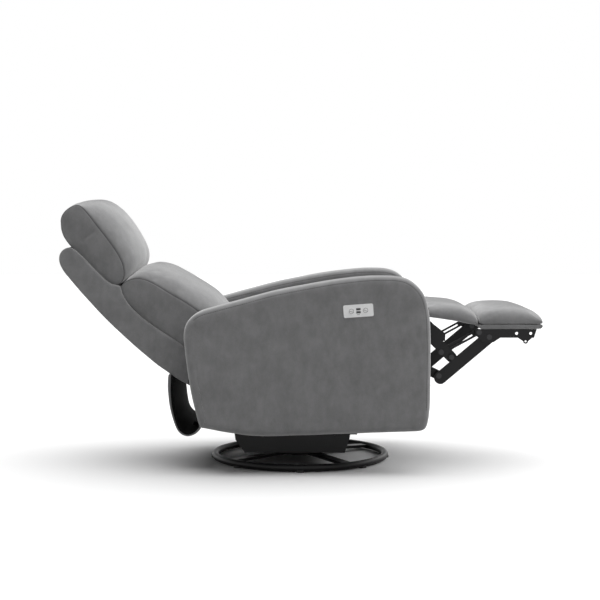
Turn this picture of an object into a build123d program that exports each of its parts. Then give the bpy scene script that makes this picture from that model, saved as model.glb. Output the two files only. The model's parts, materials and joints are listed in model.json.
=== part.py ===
from build123d import *
from math import atan2, cos, degrees, hypot, radians, sin
import os

# Swivel recliner, reclined with its footrest out.
# Millimetres. +X is forward, +Y is the sitter's left, +Z is up.
# The origin is on the floor, on the swivel axis.

# Width of the chair, which the seat, back, links and pads follow
CHAIR_WIDTH = 780
ARM_THICKNESS = 115
ARM_OUTER = CHAIR_WIDTH / 2
ARM_INNER = ARM_OUTER - ARM_THICKNESS

# Clearances
RUNNING_GAP = 0.05
SOFT_GAP = 0.4
FACE_GAP = 0.3

# Ring base
RING_OD = 620
RING_TUBE = 24
GLIDE_HEIGHT = 2
GLIDE_RADIUS = 14
GLIDE_COUNT = 8
SPIDER_ARMS = 4
SPIDER_FIRST_ANGLE = 35
SPIDER_BAR_WIDTH = 34
SPIDER_BAR_HEIGHT = 10
SPIDER_ROOT_SHARE = 0.9
HUB_RADIUS = 75
HUB_THICKNESS = 10
HUB_RISE = 6

# Swivel bearing and king bolt
LOWER_PLATE_SIDE = 170
UPPER_PLATE_SIDE = 200
PLATE_CORNER = 20
LOWER_PLATE_THICKNESS = 3
UPPER_PLATE_THICKNESS = 4
BALL_RADIUS = 5
BALL_COUNT = 16
BALL_CIRCLE_RADIUS = 58
CAGE_HEIGHT = 5
CAGE_BAND = 11
KING_BOLT_RADIUS = 6
KING_HEAD_RADIUS = 11
KING_HEAD_HEIGHT = 6
KING_NUT_HEIGHT = 9

# Swivel pan
PAN_REAR_BOTTOM = -188
PAN_FRONT_BOTTOM = 152
PAN_REAR_WAIST = -219
PAN_FRONT_WAIST = 167
PAN_REAR_TOP = -224
PAN_FRONT_TOP = 174
PAN_WAIST_RISE = 44
PAN_HALF_WIDTH = 190
PAN_WALL = 3
PAN_DEPTH = 77
PAN_LIP = 20
PAN_LIP_DROP = 12
PAN_BOLT_PITCH = 150
PAN_BOLT_RADIUS = 4
PAN_BOLT_HEAD_RADIUS = 7
PAN_BOLT_HEAD_HEIGHT = 5
PAN_HOLE_DROP = 14
PAN_LARGE_HOLE = 9
PAN_SMALL_HOLE = 4

# Cross bars
BAR_WIDTH = 40
BAR_HEIGHT = 36
BAR_WALL = 3
REAR_BAR_X = -195
FRONT_BAR_X = 140

# Arms
ARM_ROLL = 20
ARM_ROLL_SCALE = 0.972
ARM_BOARD_THICKNESS = 18
ARM_BOARD_REAR = -280
ARM_BOARD_FRONT = 370
ARM_BOARD_BOTTOM = 165
ARM_BOARD_TOP = 530
ARM_BOARD_REAR_DROP = 60
ARM_CENTRE = (20, 400)

# Arm outline as (forward, up), with a point on the way through each bend
ARM_HEEL = (-328, 164)
ARM_REAR = (-377, 431)
ARM_SHOULDER_BEND = (-371, 495)
ARM_SHOULDER = (-334, 535)
ARM_TOP_BEND = (-60, 608)
ARM_TOP = (262, 652)
ARM_NOSE_BEND = (374, 623)
ARM_NOSE = (416, 527)
ARM_FRONT_BEND = (422, 370)
ARM_FRONT = (417, 212)
ARM_TOE_BEND = (408, 170)
ARM_TOE = (388, 155)
ARM_SOLE_BEND = (15, 136)
ARM_SOLE = (-290, 154)
ARM_HEEL_BEND = (-317, 158)

# Control plate on the right arm
CONTROL_CENTRE = (189, 544)
CONTROL_TILT = 4
CONTROL_LENGTH = 97
CONTROL_HEIGHT = 41
CONTROL_THICKNESS = 3
CONTROL_CORNER = 5
BUTTON_RADIUS = 8.5
BUTTON_OFFSET = 23
BUTTON_PROUD = 3
BUTTON_TRAVEL = 1.5
BUTTON_DEPTH = 9
USB_WIDTH = 14
USB_HEIGHT = 7
USB_WALL = 1
USB_PITCH = 10
USB_DEPTH = 14
CONTROL_BOX_LENGTH = 90
CONTROL_BOX_HEIGHT = 34
CONTROL_BOX_DEPTH = 26

# Link layers, measured outwards from the middle plane
LINK_ROOM = 69
LAYER_START = ARM_INNER - LINK_ROOM
LAYER_PITCH = 8
LINK_THICKNESS = 4
PLATE_LAYER = 0
LOWER_LAYER = 1
CONTROL_LAYER = 2
ROCKER_LAYER = 3
LONG_LAYER = 4
BRACKET_LAYER = 5
RIVET_RADIUS = 5
RIVET_HEAD_RADIUS = 9
RIVET_HEAD = 1.8

# Footrest linkage pivots at rest, as (forward, up)
ROCKER_PIVOT = (289.5, 484.5)
ROCKER_END = (507, 378)
LONG_LINK_LOW = (465, 315)
LONG_LINK_TOP = (632, 446)
CONTROL_OFFSET = (-34, 16)
ROCKER_ELBOW = (418, 468)
LONG_LINK_WIDTH = 42
LONG_LINK_FOOT = (5, -6.5)
ROCKER_WIDTH = 36
CONTROL_LINK_WIDTH = 20
LOWER_LINK_WIDTH = 32
TORQUE_TUBE_RADIUS = 12
TORQUE_TUBE_WALL = 3
BRACKET_LENGTH = 204
BRACKET_HEIGHT = 29
BRACKET_TAIL = (-12, -10)
BRACKET_LOW = 17
BRACKET_CHEEK = (20, 14)
BRACKET_STEP = 36
BRACKET_SNOUT = 9
BRACKET_HOLES = (137, 184)
BRACKET_HOOK = (167, -41)
BRACKET_HOOK_ROOT = (-26, 22)
BRACKET_HOOK_WIDTH = 16
BRACKET_HOOK_BORE = 3.5
ELBOW_PLATE = ((6, 22), (27, 22), (69, -11), (68, -36), (12, -38))
CONTROL_SLOT_WIDTH = 6
CONTROL_SLOT_SHARES = (0.2, 0.82)

# Drive of the footrest
DRIVE_DROP = 45
DRIVE_REACH = 41
DRIVE_ARM_ANGLE = 45
DRIVE_ARM_THICKNESS = 8
DRIVE_HUB_RADIUS = 18
DRIVE_ARM_WIDTH = 28
SLIDER_PIN_RADIUS = 4
DRIVE_SLOT_WIDTH = 16
DRIVE_SLOT_INNER = 34
DRIVE_SLOT_OUTER = 61
SLIDER_LENGTH = 40
SLIDER_WALL = 9
RAIL_WIDTH = 40
RAIL_GAP = 18
RAIL_HEIGHT = 22
RAIL_FLOOR = 4
RAIL_DROP = 13
RAIL_FRONT = 374
MOTOR_LENGTH = 80
MOTOR_WIDTH = 84
MOTOR_DEPTH = 56
MOTOR_BODY_RADIUS = 26
MOTOR_BODY_LENGTH = 90
HANGER_THICKNESS = 4

# Side plates and seat deck
DECK_REAR = (-90, 430)
DECK_FRONT = (262, 500)
SIDE_PLATE_REAR = -215
SIDE_PLATE_FOOT = 55
SIDE_PLATE_STEP = 75
SIDE_PLATE_NECK = 140
SIDE_PLATE_SHOULDER = (40, -30)
SIDE_PLATE_NOSE = (20, -10)
SEAT_RAIL_WIDTH = 16
SEAT_RAIL_HEIGHT = 22
WEBBING_COUNT = 5
WEBBING_WIDTH = 50
WEBBING_THICKNESS = 2
WEBBING_MARGIN = 25
WEBBING_SPAN = 2 * (LAYER_START - WEBBING_MARGIN) - WEBBING_WIDTH
WEBBING_PITCH = WEBBING_SPAN / (WEBBING_COUNT - 1)

# Seat cushion
SEAT_SIDE_ROOM = 7
SEAT_HALF_WIDTH = ARM_INNER - SEAT_SIDE_ROOM
SEAT_REAR = -118
SEAT_FRONT_LOW = 374
SEAT_NOSE = 386
SEAT_FRONT_TOP = 568
SEAT_REAR_TOP = 516
SEAT_SIDE_DROP = 16
SEAT_FRONT_BOTTOM = 510
SEAT_CHANNEL_X = 150
SEAT_CHANNEL_RISE = 6
SEAT_NOSE_DROP = 24
SEAT_NOSE_ROLL = 22
SEAT_PUFF = 3
SEAT_REAR_ROLL = 24
SEAT_REAR_DROP = 32
SEAT_FOOT = 6
SEAT_EDGE_ROLL = 40
SEAT_EDGE_SHARE = 0.3
SEAT_END_PULL = 9

# Back, measured from its lower rear corner along the back (u) and square to it (n)
BACK_CORNER = (-438, 332)
BACK_LEAN = 44.5
BACK_SIDE_ROOM = 13
BACK_HALF_WIDTH = ARM_INNER - BACK_SIDE_ROOM
SHELL_THICKNESS = 62
SHELL_LENGTH = 520
SHELL_BOW = 20
SHELL_TAIL = 118
SHELL_TAIL_RISE = 22
SHELL_TOP_BULGE = 12
SHELL_TOP_SET = 8
SHELL_TAIL_SET = 18
SHELL_TAIL_BULGE = 4
SHELL_ROLL = 14
SHELL_ROLL_SCALE = 0.985
RECLINE_PIVOT_U = -80
RECLINE_PIVOT_N = 36
RECLINE_PIN_RADIUS = 8
EAR_THICKNESS = 4
EAR_WIDTH = 32
EAR_REACH = 70
STILE_WIDTH = 26
STILE_DEPTH = 28
STILE_SET = 62
STILE_INSIDE = BACK_HALF_WIDTH - STILE_SET
STILE_TOP = 470
STILE_FOOT = 24
BACK_RAIL_HEIGHTS = (70, 250, 430)
CUSHION_SET = 6
CUSHION_HALF_WIDTH = BACK_HALF_WIDTH - CUSHION_SET
CUSHION_LOW = -94
CUSHION_HIGH = 302
CUSHION_CROWN = 74
CUSHION_ROLL = 48
SEAM_TOP = 140
SEAM_MIDDLE = 190
SEAM_LUMBAR = 216
SEAM_LOW = 190
SEAM_HEM_DROP = 2
LUMBAR_HEIGHT = 20
CUSHION_MIDDLE = 175
CUSHION_CORNER = 12
CUSHION_TOP_BELLY = 40
CUSHION_HEM = 40
CUSHION_HEM_RISE = 4
CUSHION_END_BULGE = 5
CUSHION_END_BELLY = 130
CROWN_EDGE_SHARE = 0.85
CROWN_MIDDLE_SHARE = 1.08
CROWN_STATION_SHARE = 0.62
HEADREST_SET = 12
HEADREST_HALF_WIDTH = BACK_HALF_WIDTH - HEADREST_SET
HEADREST_LOW = 326
HEADREST_HIGH = 588
HEADREST_CROWN = 74
HEADREST_ROLL = 46
HEADREST_SEAM_TOP = 186
HEADREST_SEAM_MIDDLE = 170
HEADREST_SEAM_LOW = 128
HEADREST_MIDDLE_RISE = 15
HEADREST_HEEL = 6
HEADREST_CAP_BULGE = 41
HEADREST_CAP_BELLY = 64
HEADREST_CAP_CROWN = 0.2
HEADREST_BROW = 8
HEADREST_BROW_CROWN = 0.66
HEADREST_CHIN = 20
HEADREST_CHIN_CROWN = 0.95
HEADREST_CHIN_BULGE = 4
HEADREST_CHIN_BELLY = 38
HEADREST_CHIN_ROLL = 0.35
HEADREST_FACE_CROWN = 1.1

# Rear lower panel
REAR_PANEL_ROOM = 10
REAR_PANEL_HALF_WIDTH = ARM_INNER - REAR_PANEL_ROOM
REAR_SKIN = 9
REAR_PANEL_TOP = 319
REAR_PANEL_X = -437
REAR_PANEL_BELLY = (-438, 262)
REAR_PANEL_WAIST = (-414, 158)
REAR_PANEL_HOOK_BEND = (-376, 121)
REAR_PANEL_HOOK = (-331, 147)
REAR_LIP_SHARE = 0.3
REAR_HOOK_SLOPE = (-0.93, 0.37)
REAR_LINING = 3
STAY_REAR = -365
STAY_BOTTOM = 136
STAY_WIDTH = 30
STAY_THICKNESS = 10
STAY_Y = 130

# Ottoman and mid pad
OTTOMAN_SIDE_ROOM = 25
OTTOMAN_HALF_WIDTH = ARM_INNER - OTTOMAN_SIDE_ROOM
OTTOMAN_OVERHANG = 32
OTTOMAN_LENGTH = 201
OTTOMAN_RISE = 27
OTTOMAN_BOARD = 16
OTTOMAN_SIDE_HEIGHT = 51
OTTOMAN_HEIGHT = 80
OTTOMAN_REAR = LONG_LINK_TOP[0] - OTTOMAN_OVERHANG
OTTOMAN_FRONT = OTTOMAN_REAR + OTTOMAN_LENGTH
OTTOMAN_BOTTOM = LONG_LINK_TOP[1] + OTTOMAN_RISE
OTTOMAN_SIDE_TOP = OTTOMAN_BOTTOM + OTTOMAN_SIDE_HEIGHT
OTTOMAN_CROWN = OTTOMAN_BOTTOM + OTTOMAN_HEIGHT
OTTOMAN_INSET = 2
OTTOMAN_ROLL = 44
OTTOMAN_TOE = 10
OTTOMAN_NOSE = (18, 8)
OTTOMAN_NOSE_BELLY = (1, 14)
OTTOMAN_HEEL = (14, 7)
OTTOMAN_HEEL_BELLY = (4, 20)
MID_PAD_HINGE = (416, 540)
MID_PAD_SIDE_ROOM = 29
MID_PAD_HALF_WIDTH = ARM_INNER - MID_PAD_SIDE_ROOM
MID_PAD_TIP_GAP = 16
MID_PAD_TIP = OTTOMAN_REAR - MID_PAD_TIP_GAP
MID_PAD_BOTTOM = 509
MID_PAD_TOP = 566
MID_PAD_SIDE_DROP = 18
MID_PAD_REAR_RADIUS = 22
MID_PAD_ROLL = 44
MID_PAD_HEEL = 8
MID_PAD_TIP_SET = 14
MID_PAD_TIP_DROP = 18
MID_PAD_TIP_FOOT = 6
HINGE_ROD_RADIUS = 5
LUG_WIDTH = 22
LUG_REACH = 40

# Levels that follow from the sizes above
RING_MID = GLIDE_HEIGHT + RING_TUBE / 2
RING_RADIUS = RING_OD / 2 - RING_TUBE / 2
HUB_BOTTOM = RING_MID + HUB_RISE
HUB_TOP = HUB_BOTTOM + HUB_THICKNESS
LOWER_PLATE_TOP = HUB_TOP + LOWER_PLATE_THICKNESS
BALL_MID = LOWER_PLATE_TOP + RUNNING_GAP + BALL_RADIUS
UPPER_PLATE_BOTTOM = BALL_MID + BALL_RADIUS + FACE_GAP
PAN_BOTTOM = UPPER_PLATE_BOTTOM + UPPER_PLATE_THICKNESS
PAN_TOP = PAN_BOTTOM + PAN_DEPTH
BAR_TOP = PAN_TOP + BAR_HEIGHT


def side_plane(y):
    """Plane across the chair at y, drawn with forward as its x and up as its y."""
    return Plane(origin=(0, y, 0), x_dir=(1, 0, 0), z_dir=(0, -1, 0))


def slab(sketch, low, high):
    """A side sketch made solid from y = low to y = high."""
    return extrude(side_plane(high) * sketch, amount=high - low)


def pair(sketch, near, far):
    """The same slab on the left and on the right side."""
    return [slab(sketch, near, far), slab(sketch, -far, -near)]


def polygon(points):
    """A side sketch with straight edges."""
    return make_face(Polyline(*points, close=True))


def outline(start, steps):
    """A closed side sketch: each step is an end point, or a point on the way and an end point."""
    edges = []
    here = start
    for step in steps:
        if len(step) == 1:
            edges.append(Line(here, step[0]))
        else:
            edges.append(ThreePointArc(here, step[0], step[1]))
        here = step[-1]
    return make_face(edges)


def bar(first, last, width):
    """A side sketch of a bar with round ends between two points."""
    run = hypot(last[0] - first[0], last[1] - first[1])
    turn = degrees(atan2(last[1] - first[1], last[0] - first[0]))
    middle = Pos((first[0] + last[0]) / 2, (first[1] + last[1]) / 2)
    return middle * Rot(0, 0, turn) * SlotCenterToCenter(run, width)


def hole(point, radius):
    """A round hole in a side sketch."""
    return Pos(point[0], point[1]) * Circle(radius)


def block(x_low, x_high, y_low, y_high, z_low, z_high):
    """A box between two corners."""
    middle = Pos((x_low + x_high) / 2, (y_low + y_high) / 2, (z_low + z_high) / 2)
    return middle * Box(x_high - x_low, y_high - y_low, z_high - z_low)


def disc(radius, z_low, z_high):
    """An upright cylinder on the swivel axis."""
    return Pos(0, 0, (z_low + z_high) / 2) * Cylinder(radius, z_high - z_low)


def layer(index):
    """Inner and outer face of a link layer, as distances from the middle plane."""
    inner = LAYER_START + index * LAYER_PITCH
    return inner, inner + LINK_THICKNESS


def back_point(u, n):
    """A point of the back as (forward, up)."""
    lean = radians(BACK_LEAN)
    x = BACK_CORNER[0] - u * sin(lean) + n * cos(lean)
    z = BACK_CORNER[1] + u * cos(lean) + n * sin(lean)
    return x, z


def deck_height(x):
    """Height of the sloping seat deck."""
    slope = (DECK_FRONT[1] - DECK_REAR[1]) / (DECK_FRONT[0] - DECK_REAR[0])
    return DECK_REAR[1] + slope * (x - DECK_REAR[0])


def shifted(point, offset):
    """A point moved by an offset."""
    return point[0] + offset[0], point[1] + offset[1]


RECLINE_PIVOT = back_point(RECLINE_PIVOT_U, RECLINE_PIVOT_N)
LOWER_PIVOT = (
    ROCKER_PIVOT[0] + LONG_LINK_LOW[0] - ROCKER_END[0],
    ROCKER_PIVOT[1] + LONG_LINK_LOW[1] - ROCKER_END[1],
)
CONTROL_LOW = shifted(ROCKER_END, CONTROL_OFFSET)
CONTROL_TOP = shifted(LONG_LINK_TOP, CONTROL_OFFSET)
SLIDER_PIN_Z = ROCKER_PIVOT[1] - DRIVE_DROP
SLIDER_PIN_X = ROCKER_PIVOT[0] + DRIVE_REACH
RAIL_TOP = SLIDER_PIN_Z - RAIL_DROP
RAIL_BOTTOM = RAIL_TOP - RAIL_HEIGHT


# Ring base and swivel

def base_ring():
    return Pos(0, 0, RING_MID) * Torus(RING_RADIUS, RING_TUBE / 2)


def base_spider():
    inner = HUB_RADIUS * SPIDER_ROOT_SHARE
    side = polygon([
        (inner, HUB_BOTTOM),
        (RING_RADIUS, RING_MID - SPIDER_BAR_HEIGHT / 2),
        (RING_RADIUS, RING_MID + SPIDER_BAR_HEIGHT / 2),
        (inner, HUB_TOP),
    ])
    spoke = slab(side, -SPIDER_BAR_WIDTH / 2, SPIDER_BAR_WIDTH / 2)
    spider = disc(HUB_RADIUS, HUB_BOTTOM, HUB_TOP)
    for index in range(SPIDER_ARMS):
        spider += Rot(0, 0, SPIDER_FIRST_ANGLE + index * 360 / SPIDER_ARMS) * spoke
    return spider - disc(KING_BOLT_RADIUS, HUB_BOTTOM, HUB_TOP) - base_ring()


def floor_glides():
    glides = []
    cup = Cylinder(GLIDE_RADIUS, RING_MID - RING_TUBE / 4)
    cup = Pos(0, 0, (RING_MID - RING_TUBE / 4) / 2) * cup
    for index in range(GLIDE_COUNT):
        place = Rot(0, 0, index * 360 / GLIDE_COUNT) * Pos(RING_RADIUS, 0, 0)
        glides.append(place * cup - base_ring())
    return glides


def swivel_plate(side, z_low, thickness, bore):
    plate = extrude(Plane.XY.offset(z_low) * RectangleRounded(side, side, PLATE_CORNER), amount=thickness)
    return plate - disc(bore, z_low, z_low + thickness)


def bolt_places():
    return [Pos(x * PAN_BOLT_PITCH / 2, y * PAN_BOLT_PITCH / 2, 0) for x in (-1, 1) for y in (-1, 1)]


def swivel_lower_plate():
    return swivel_plate(LOWER_PLATE_SIDE, HUB_TOP, LOWER_PLATE_THICKNESS, KING_BOLT_RADIUS)


def swivel_upper_plate():
    bore = KING_BOLT_RADIUS + RUNNING_GAP
    plate = swivel_plate(UPPER_PLATE_SIDE, UPPER_PLATE_BOTTOM, UPPER_PLATE_THICKNESS, bore)
    for place in bolt_places():
        plate -= place * disc(PAN_BOLT_RADIUS, UPPER_PLATE_BOTTOM, PAN_BOTTOM)
    return plate


def ball_places():
    step = 360 / BALL_COUNT
    return [Rot(0, 0, index * step) * Pos(BALL_CIRCLE_RADIUS, 0, 0) for index in range(BALL_COUNT)]


def bearing_cage():
    low = LOWER_PLATE_TOP
    high = low + CAGE_HEIGHT
    cage = disc(BALL_CIRCLE_RADIUS + CAGE_BAND, low, high) - disc(BALL_CIRCLE_RADIUS - CAGE_BAND, low, high)
    for place in ball_places():
        cage -= place * disc(BALL_RADIUS + FACE_GAP, low, high)
    return cage


def bearing_balls():
    return [place * Pos(0, 0, BALL_MID) * Sphere(BALL_RADIUS) for place in ball_places()]


def king_bolt():
    nut_top = PAN_BOTTOM + PAN_WALL + FACE_GAP + KING_NUT_HEIGHT
    shank = disc(KING_BOLT_RADIUS, HUB_BOTTOM - KING_HEAD_HEIGHT, nut_top + KING_BOLT_RADIUS / 2)
    head = extrude(
        Plane.XY.offset(HUB_BOTTOM - KING_HEAD_HEIGHT) * RegularPolygon(KING_HEAD_RADIUS, 6),
        amount=KING_HEAD_HEIGHT,
    )
    return shank + head


def king_nut():
    low = PAN_BOTTOM + PAN_WALL + FACE_GAP
    nut = extrude(Plane.XY.offset(low) * RegularPolygon(KING_HEAD_RADIUS, 6), amount=KING_NUT_HEIGHT)
    return nut - disc(KING_BOLT_RADIUS, low, low + KING_NUT_HEIGHT)


# Pan and cross bars

def swivel_pan():
    def tray(inset, floor, top):
        waist = PAN_BOTTOM + PAN_WAIST_RISE
        return polygon([
            (PAN_REAR_BOTTOM + inset, floor),
            (PAN_FRONT_BOTTOM - inset, floor),
            (PAN_FRONT_WAIST - inset, waist),
            (PAN_FRONT_TOP - inset, top),
            (PAN_REAR_TOP + inset, top),
            (PAN_REAR_WAIST + inset, waist),
        ])

    pan = slab(tray(0, PAN_BOTTOM, PAN_TOP), -PAN_HALF_WIDTH, PAN_HALF_WIDTH)
    room = PAN_HALF_WIDTH - PAN_WALL
    pan -= slab(tray(PAN_WALL, PAN_BOTTOM + PAN_WALL, PAN_TOP), -room, room)
    lip = PAN_FRONT_TOP
    lip_top = PAN_TOP - PAN_LIP_DROP
    pan += block(lip - PAN_WALL, lip + PAN_LIP, -PAN_HALF_WIDTH, PAN_HALF_WIDTH, lip_top - PAN_WALL, lip_top)
    hole_z = PAN_TOP - PAN_HOLE_DROP
    length = PAN_FRONT_BOTTOM - PAN_REAR_BOTTOM
    sizes = [
        (0.06, PAN_SMALL_HOLE),
        (0.18, PAN_LARGE_HOLE),
        (0.34, PAN_SMALL_HOLE),
        (0.90, PAN_SMALL_HOLE),
    ]
    holes = [hole((PAN_REAR_BOTTOM + share * length, hole_z), radius) for share, radius in sizes]
    for sketch in holes:
        pan -= slab(sketch, -PAN_HALF_WIDTH, PAN_HALF_WIDTH)
    pan -= disc(KING_BOLT_RADIUS + FACE_GAP, PAN_BOTTOM, PAN_BOTTOM + PAN_WALL)
    for place in bolt_places():
        pan -= place * disc(PAN_BOLT_RADIUS, PAN_BOTTOM, PAN_BOTTOM + PAN_WALL)
    return pan


def pan_bolts():
    floor = PAN_BOTTOM + PAN_WALL
    shank = disc(PAN_BOLT_RADIUS, UPPER_PLATE_BOTTOM, floor)
    hexagon = Plane.XY.offset(floor) * RegularPolygon(PAN_BOLT_HEAD_RADIUS, 6)
    head = extrude(hexagon, amount=PAN_BOLT_HEAD_HEIGHT)
    return [place * (shank + head) for place in bolt_places()]


def cross_bar(x):
    half = BAR_WIDTH / 2
    tube = block(x - half, x + half, -ARM_INNER, ARM_INNER, PAN_TOP, BAR_TOP)
    inside = half - BAR_WALL
    return tube - block(x - inside, x + inside, -ARM_INNER, ARM_INNER, PAN_TOP + BAR_WALL, BAR_TOP - BAR_WALL)


# Arms

def arm_outline():
    return outline(ARM_HEEL, [
        (ARM_REAR,),
        (ARM_SHOULDER_BEND, ARM_SHOULDER),
        (ARM_TOP_BEND, ARM_TOP),
        (ARM_NOSE_BEND, ARM_NOSE),
        (ARM_FRONT_BEND, ARM_FRONT),
        (ARM_TOE_BEND, ARM_TOE),
        (ARM_SOLE_BEND, ARM_SOLE),
        (ARM_HEEL_BEND, ARM_HEEL),
    ])


def scaled_outline(sketch, centre, factor):
    """An outline drawn in towards a centre, for the rolled edge of a padded panel."""
    return Pos(centre[0], centre[1]) * scale(Pos(-centre[0], -centre[1]) * sketch, by=factor)


def padded_panel(sketch, centre, near, far, roll, factor):
    """A padded panel with flat faces at near and far, and an edge that rolls in towards both."""
    small = scaled_outline(sketch, centre, factor)
    middle = scaled_outline(sketch, centre, 1 - (1 - factor) / 4)
    places = [
        (small, near),
        (middle, near + roll / 3),
        (sketch, near + roll),
        (sketch, far - roll),
        (middle, far - roll / 3),
        (small, far),
    ]
    return loft([side_plane(y) * face for face, y in places], ruled=True)


def arm_board_span():
    middle = ARM_INNER + ARM_THICKNESS / 2
    return middle - ARM_BOARD_THICKNESS / 2, middle + ARM_BOARD_THICKNESS / 2


def arm_board_sketch(bottom):
    return polygon([
        (ARM_BOARD_REAR, bottom),
        (ARM_BOARD_FRONT, bottom),
        (ARM_BOARD_FRONT, ARM_BOARD_TOP),
        (0, ARM_BOARD_TOP),
        (ARM_BOARD_REAR, ARM_BOARD_TOP - ARM_BOARD_REAR_DROP),
    ])


def arm_boards():
    return pair(arm_board_sketch(ARM_BOARD_BOTTOM), *arm_board_span())


def arm(near, far):
    low, high = arm_board_span()
    if near < 0:
        low, high = -high, -low
    body = padded_panel(arm_outline(), ARM_CENTRE, near, far, ARM_ROLL, ARM_ROLL_SCALE)
    return body - slab(arm_board_sketch(0), low, high)


def left_arm():
    return arm(ARM_INNER, ARM_OUTER)


def right_arm():
    return arm(-ARM_OUTER, -ARM_INNER) - control_block(
        CONTROL_BOX_LENGTH, CONTROL_BOX_HEIGHT, -ARM_OUTER, -ARM_OUTER + CONTROL_BOX_DEPTH
    )


# Control plate

def control_place(x, z):
    """A place on the control plate, measured from its middle."""
    return Pos(CONTROL_CENTRE[0], CONTROL_CENTRE[1]) * Rot(0, 0, CONTROL_TILT) * Pos(x, z)


def control_block(length, height, low, high):
    return slab(control_place(0, 0) * Rectangle(length, height), low, high)


def usb_places():
    return [control_place(0, side * USB_PITCH / 2) for side in (-1, 1)]


def control_plate():
    sketch = control_place(0, 0) * RectangleRounded(CONTROL_LENGTH, CONTROL_HEIGHT, CONTROL_CORNER)
    for side in (-1, 1):
        sketch -= control_place(side * BUTTON_OFFSET, 0) * Circle(BUTTON_RADIUS + 2 * RUNNING_GAP)
    for place in usb_places():
        sketch -= place * Rectangle(USB_WIDTH, USB_HEIGHT)
    return slab(sketch, -ARM_OUTER - CONTROL_THICKNESS, -ARM_OUTER)


def usb_sockets():
    front = -ARM_OUTER - CONTROL_THICKNESS
    sockets = []
    for place in usb_places():
        shell = slab(place * Rectangle(USB_WIDTH, USB_HEIGHT), front, front + USB_DEPTH)
        room = place * Rectangle(USB_WIDTH - 2 * USB_WALL, USB_HEIGHT - 2 * USB_WALL)
        sockets.append(shell - slab(room, front, front + USB_DEPTH - USB_WALL))
    return sockets


def control_box():
    back = -ARM_OUTER + CONTROL_BOX_DEPTH
    box = control_block(CONTROL_BOX_LENGTH, CONTROL_BOX_HEIGHT, -ARM_OUTER, back)
    well = BUTTON_DEPTH + 2 * BUTTON_TRAVEL
    for side in (-1, 1):
        round_well = control_place(side * BUTTON_OFFSET, 0) * Circle(BUTTON_RADIUS + 2 * RUNNING_GAP)
        box -= slab(round_well, -ARM_OUTER, -ARM_OUTER + well)
    socket_end = -ARM_OUTER - CONTROL_THICKNESS + USB_DEPTH
    for place in usb_places():
        box -= slab(place * Rectangle(USB_WIDTH, USB_HEIGHT), -ARM_OUTER, socket_end)
    return box


def button(side):
    front = -ARM_OUTER - CONTROL_THICKNESS - BUTTON_PROUD
    sketch = control_place(side * BUTTON_OFFSET, 0) * Circle(BUTTON_RADIUS)
    return slab(sketch, front, -ARM_OUTER + BUTTON_DEPTH)


# Side plates, seat deck and seat

def side_plates():
    inner, outer = layer(PLATE_LAYER)
    rear = DECK_REAR[0] + SEAT_RAIL_WIDTH
    sketch = polygon([
        (SIDE_PLATE_REAR, BAR_TOP),
        (FRONT_BAR_X + BAR_WIDTH / 2, BAR_TOP),
        shifted(LOWER_PIVOT, SIDE_PLATE_SHOULDER),
        shifted(ROCKER_PIVOT, SIDE_PLATE_NOSE),
        (DECK_FRONT[0], deck_height(DECK_FRONT[0]) - WEBBING_THICKNESS),
        (rear, deck_height(rear) - WEBBING_THICKNESS),
        (rear, BAR_TOP + SIDE_PLATE_NECK),
        (rear - SIDE_PLATE_STEP, BAR_TOP + SIDE_PLATE_FOOT),
        (SIDE_PLATE_REAR, BAR_TOP + SIDE_PLATE_FOOT),
    ])
    sketch += hole(ROCKER_PIVOT, DRIVE_HUB_RADIUS)
    sketch -= hole(ROCKER_PIVOT, TORQUE_TUBE_RADIUS + RUNNING_GAP)
    sketch -= hole(LOWER_PIVOT, RIVET_RADIUS)
    return sketch, inner, outer


def left_side_plate():
    sketch, inner, outer = side_plates()
    return slab(sketch, inner, outer)


def right_side_plate():
    sketch, inner, outer = side_plates()
    return slab(sketch, -outer, -inner)


def deck_strip(x_low, x_high, drop, rise):
    """A side sketch that follows the sloping deck, from drop under it to rise above it."""
    return polygon([
        (x_low, deck_height(x_low) - drop),
        (x_high, deck_height(x_high) - drop),
        (x_high, deck_height(x_high) + rise),
        (x_low, deck_height(x_low) + rise),
    ])


def seat_side_rails():
    sketch = deck_strip(DECK_REAR[0], DECK_FRONT[0], SEAT_RAIL_HEIGHT, 0)
    return pair(sketch, LAYER_START - SEAT_RAIL_WIDTH, LAYER_START)


def seat_cross_rails():
    reach = LAYER_START - SEAT_RAIL_WIDTH
    spans = [
        (DECK_REAR[0], DECK_REAR[0] + SEAT_RAIL_WIDTH),
        (DECK_FRONT[0] - SEAT_RAIL_WIDTH, DECK_FRONT[0]),
    ]
    return [slab(deck_strip(low, high, SEAT_RAIL_HEIGHT, 0), -reach, reach) for low, high in spans]


def seat_webbing():
    strap = deck_strip(DECK_REAR[0], DECK_FRONT[0], 0, WEBBING_THICKNESS)
    straps = []
    for index in range(WEBBING_COUNT):
        middle = (index - (WEBBING_COUNT - 1) / 2) * WEBBING_PITCH
        straps.append(slab(strap, middle - WEBBING_WIDTH / 2, middle + WEBBING_WIDTH / 2))
    return straps


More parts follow.
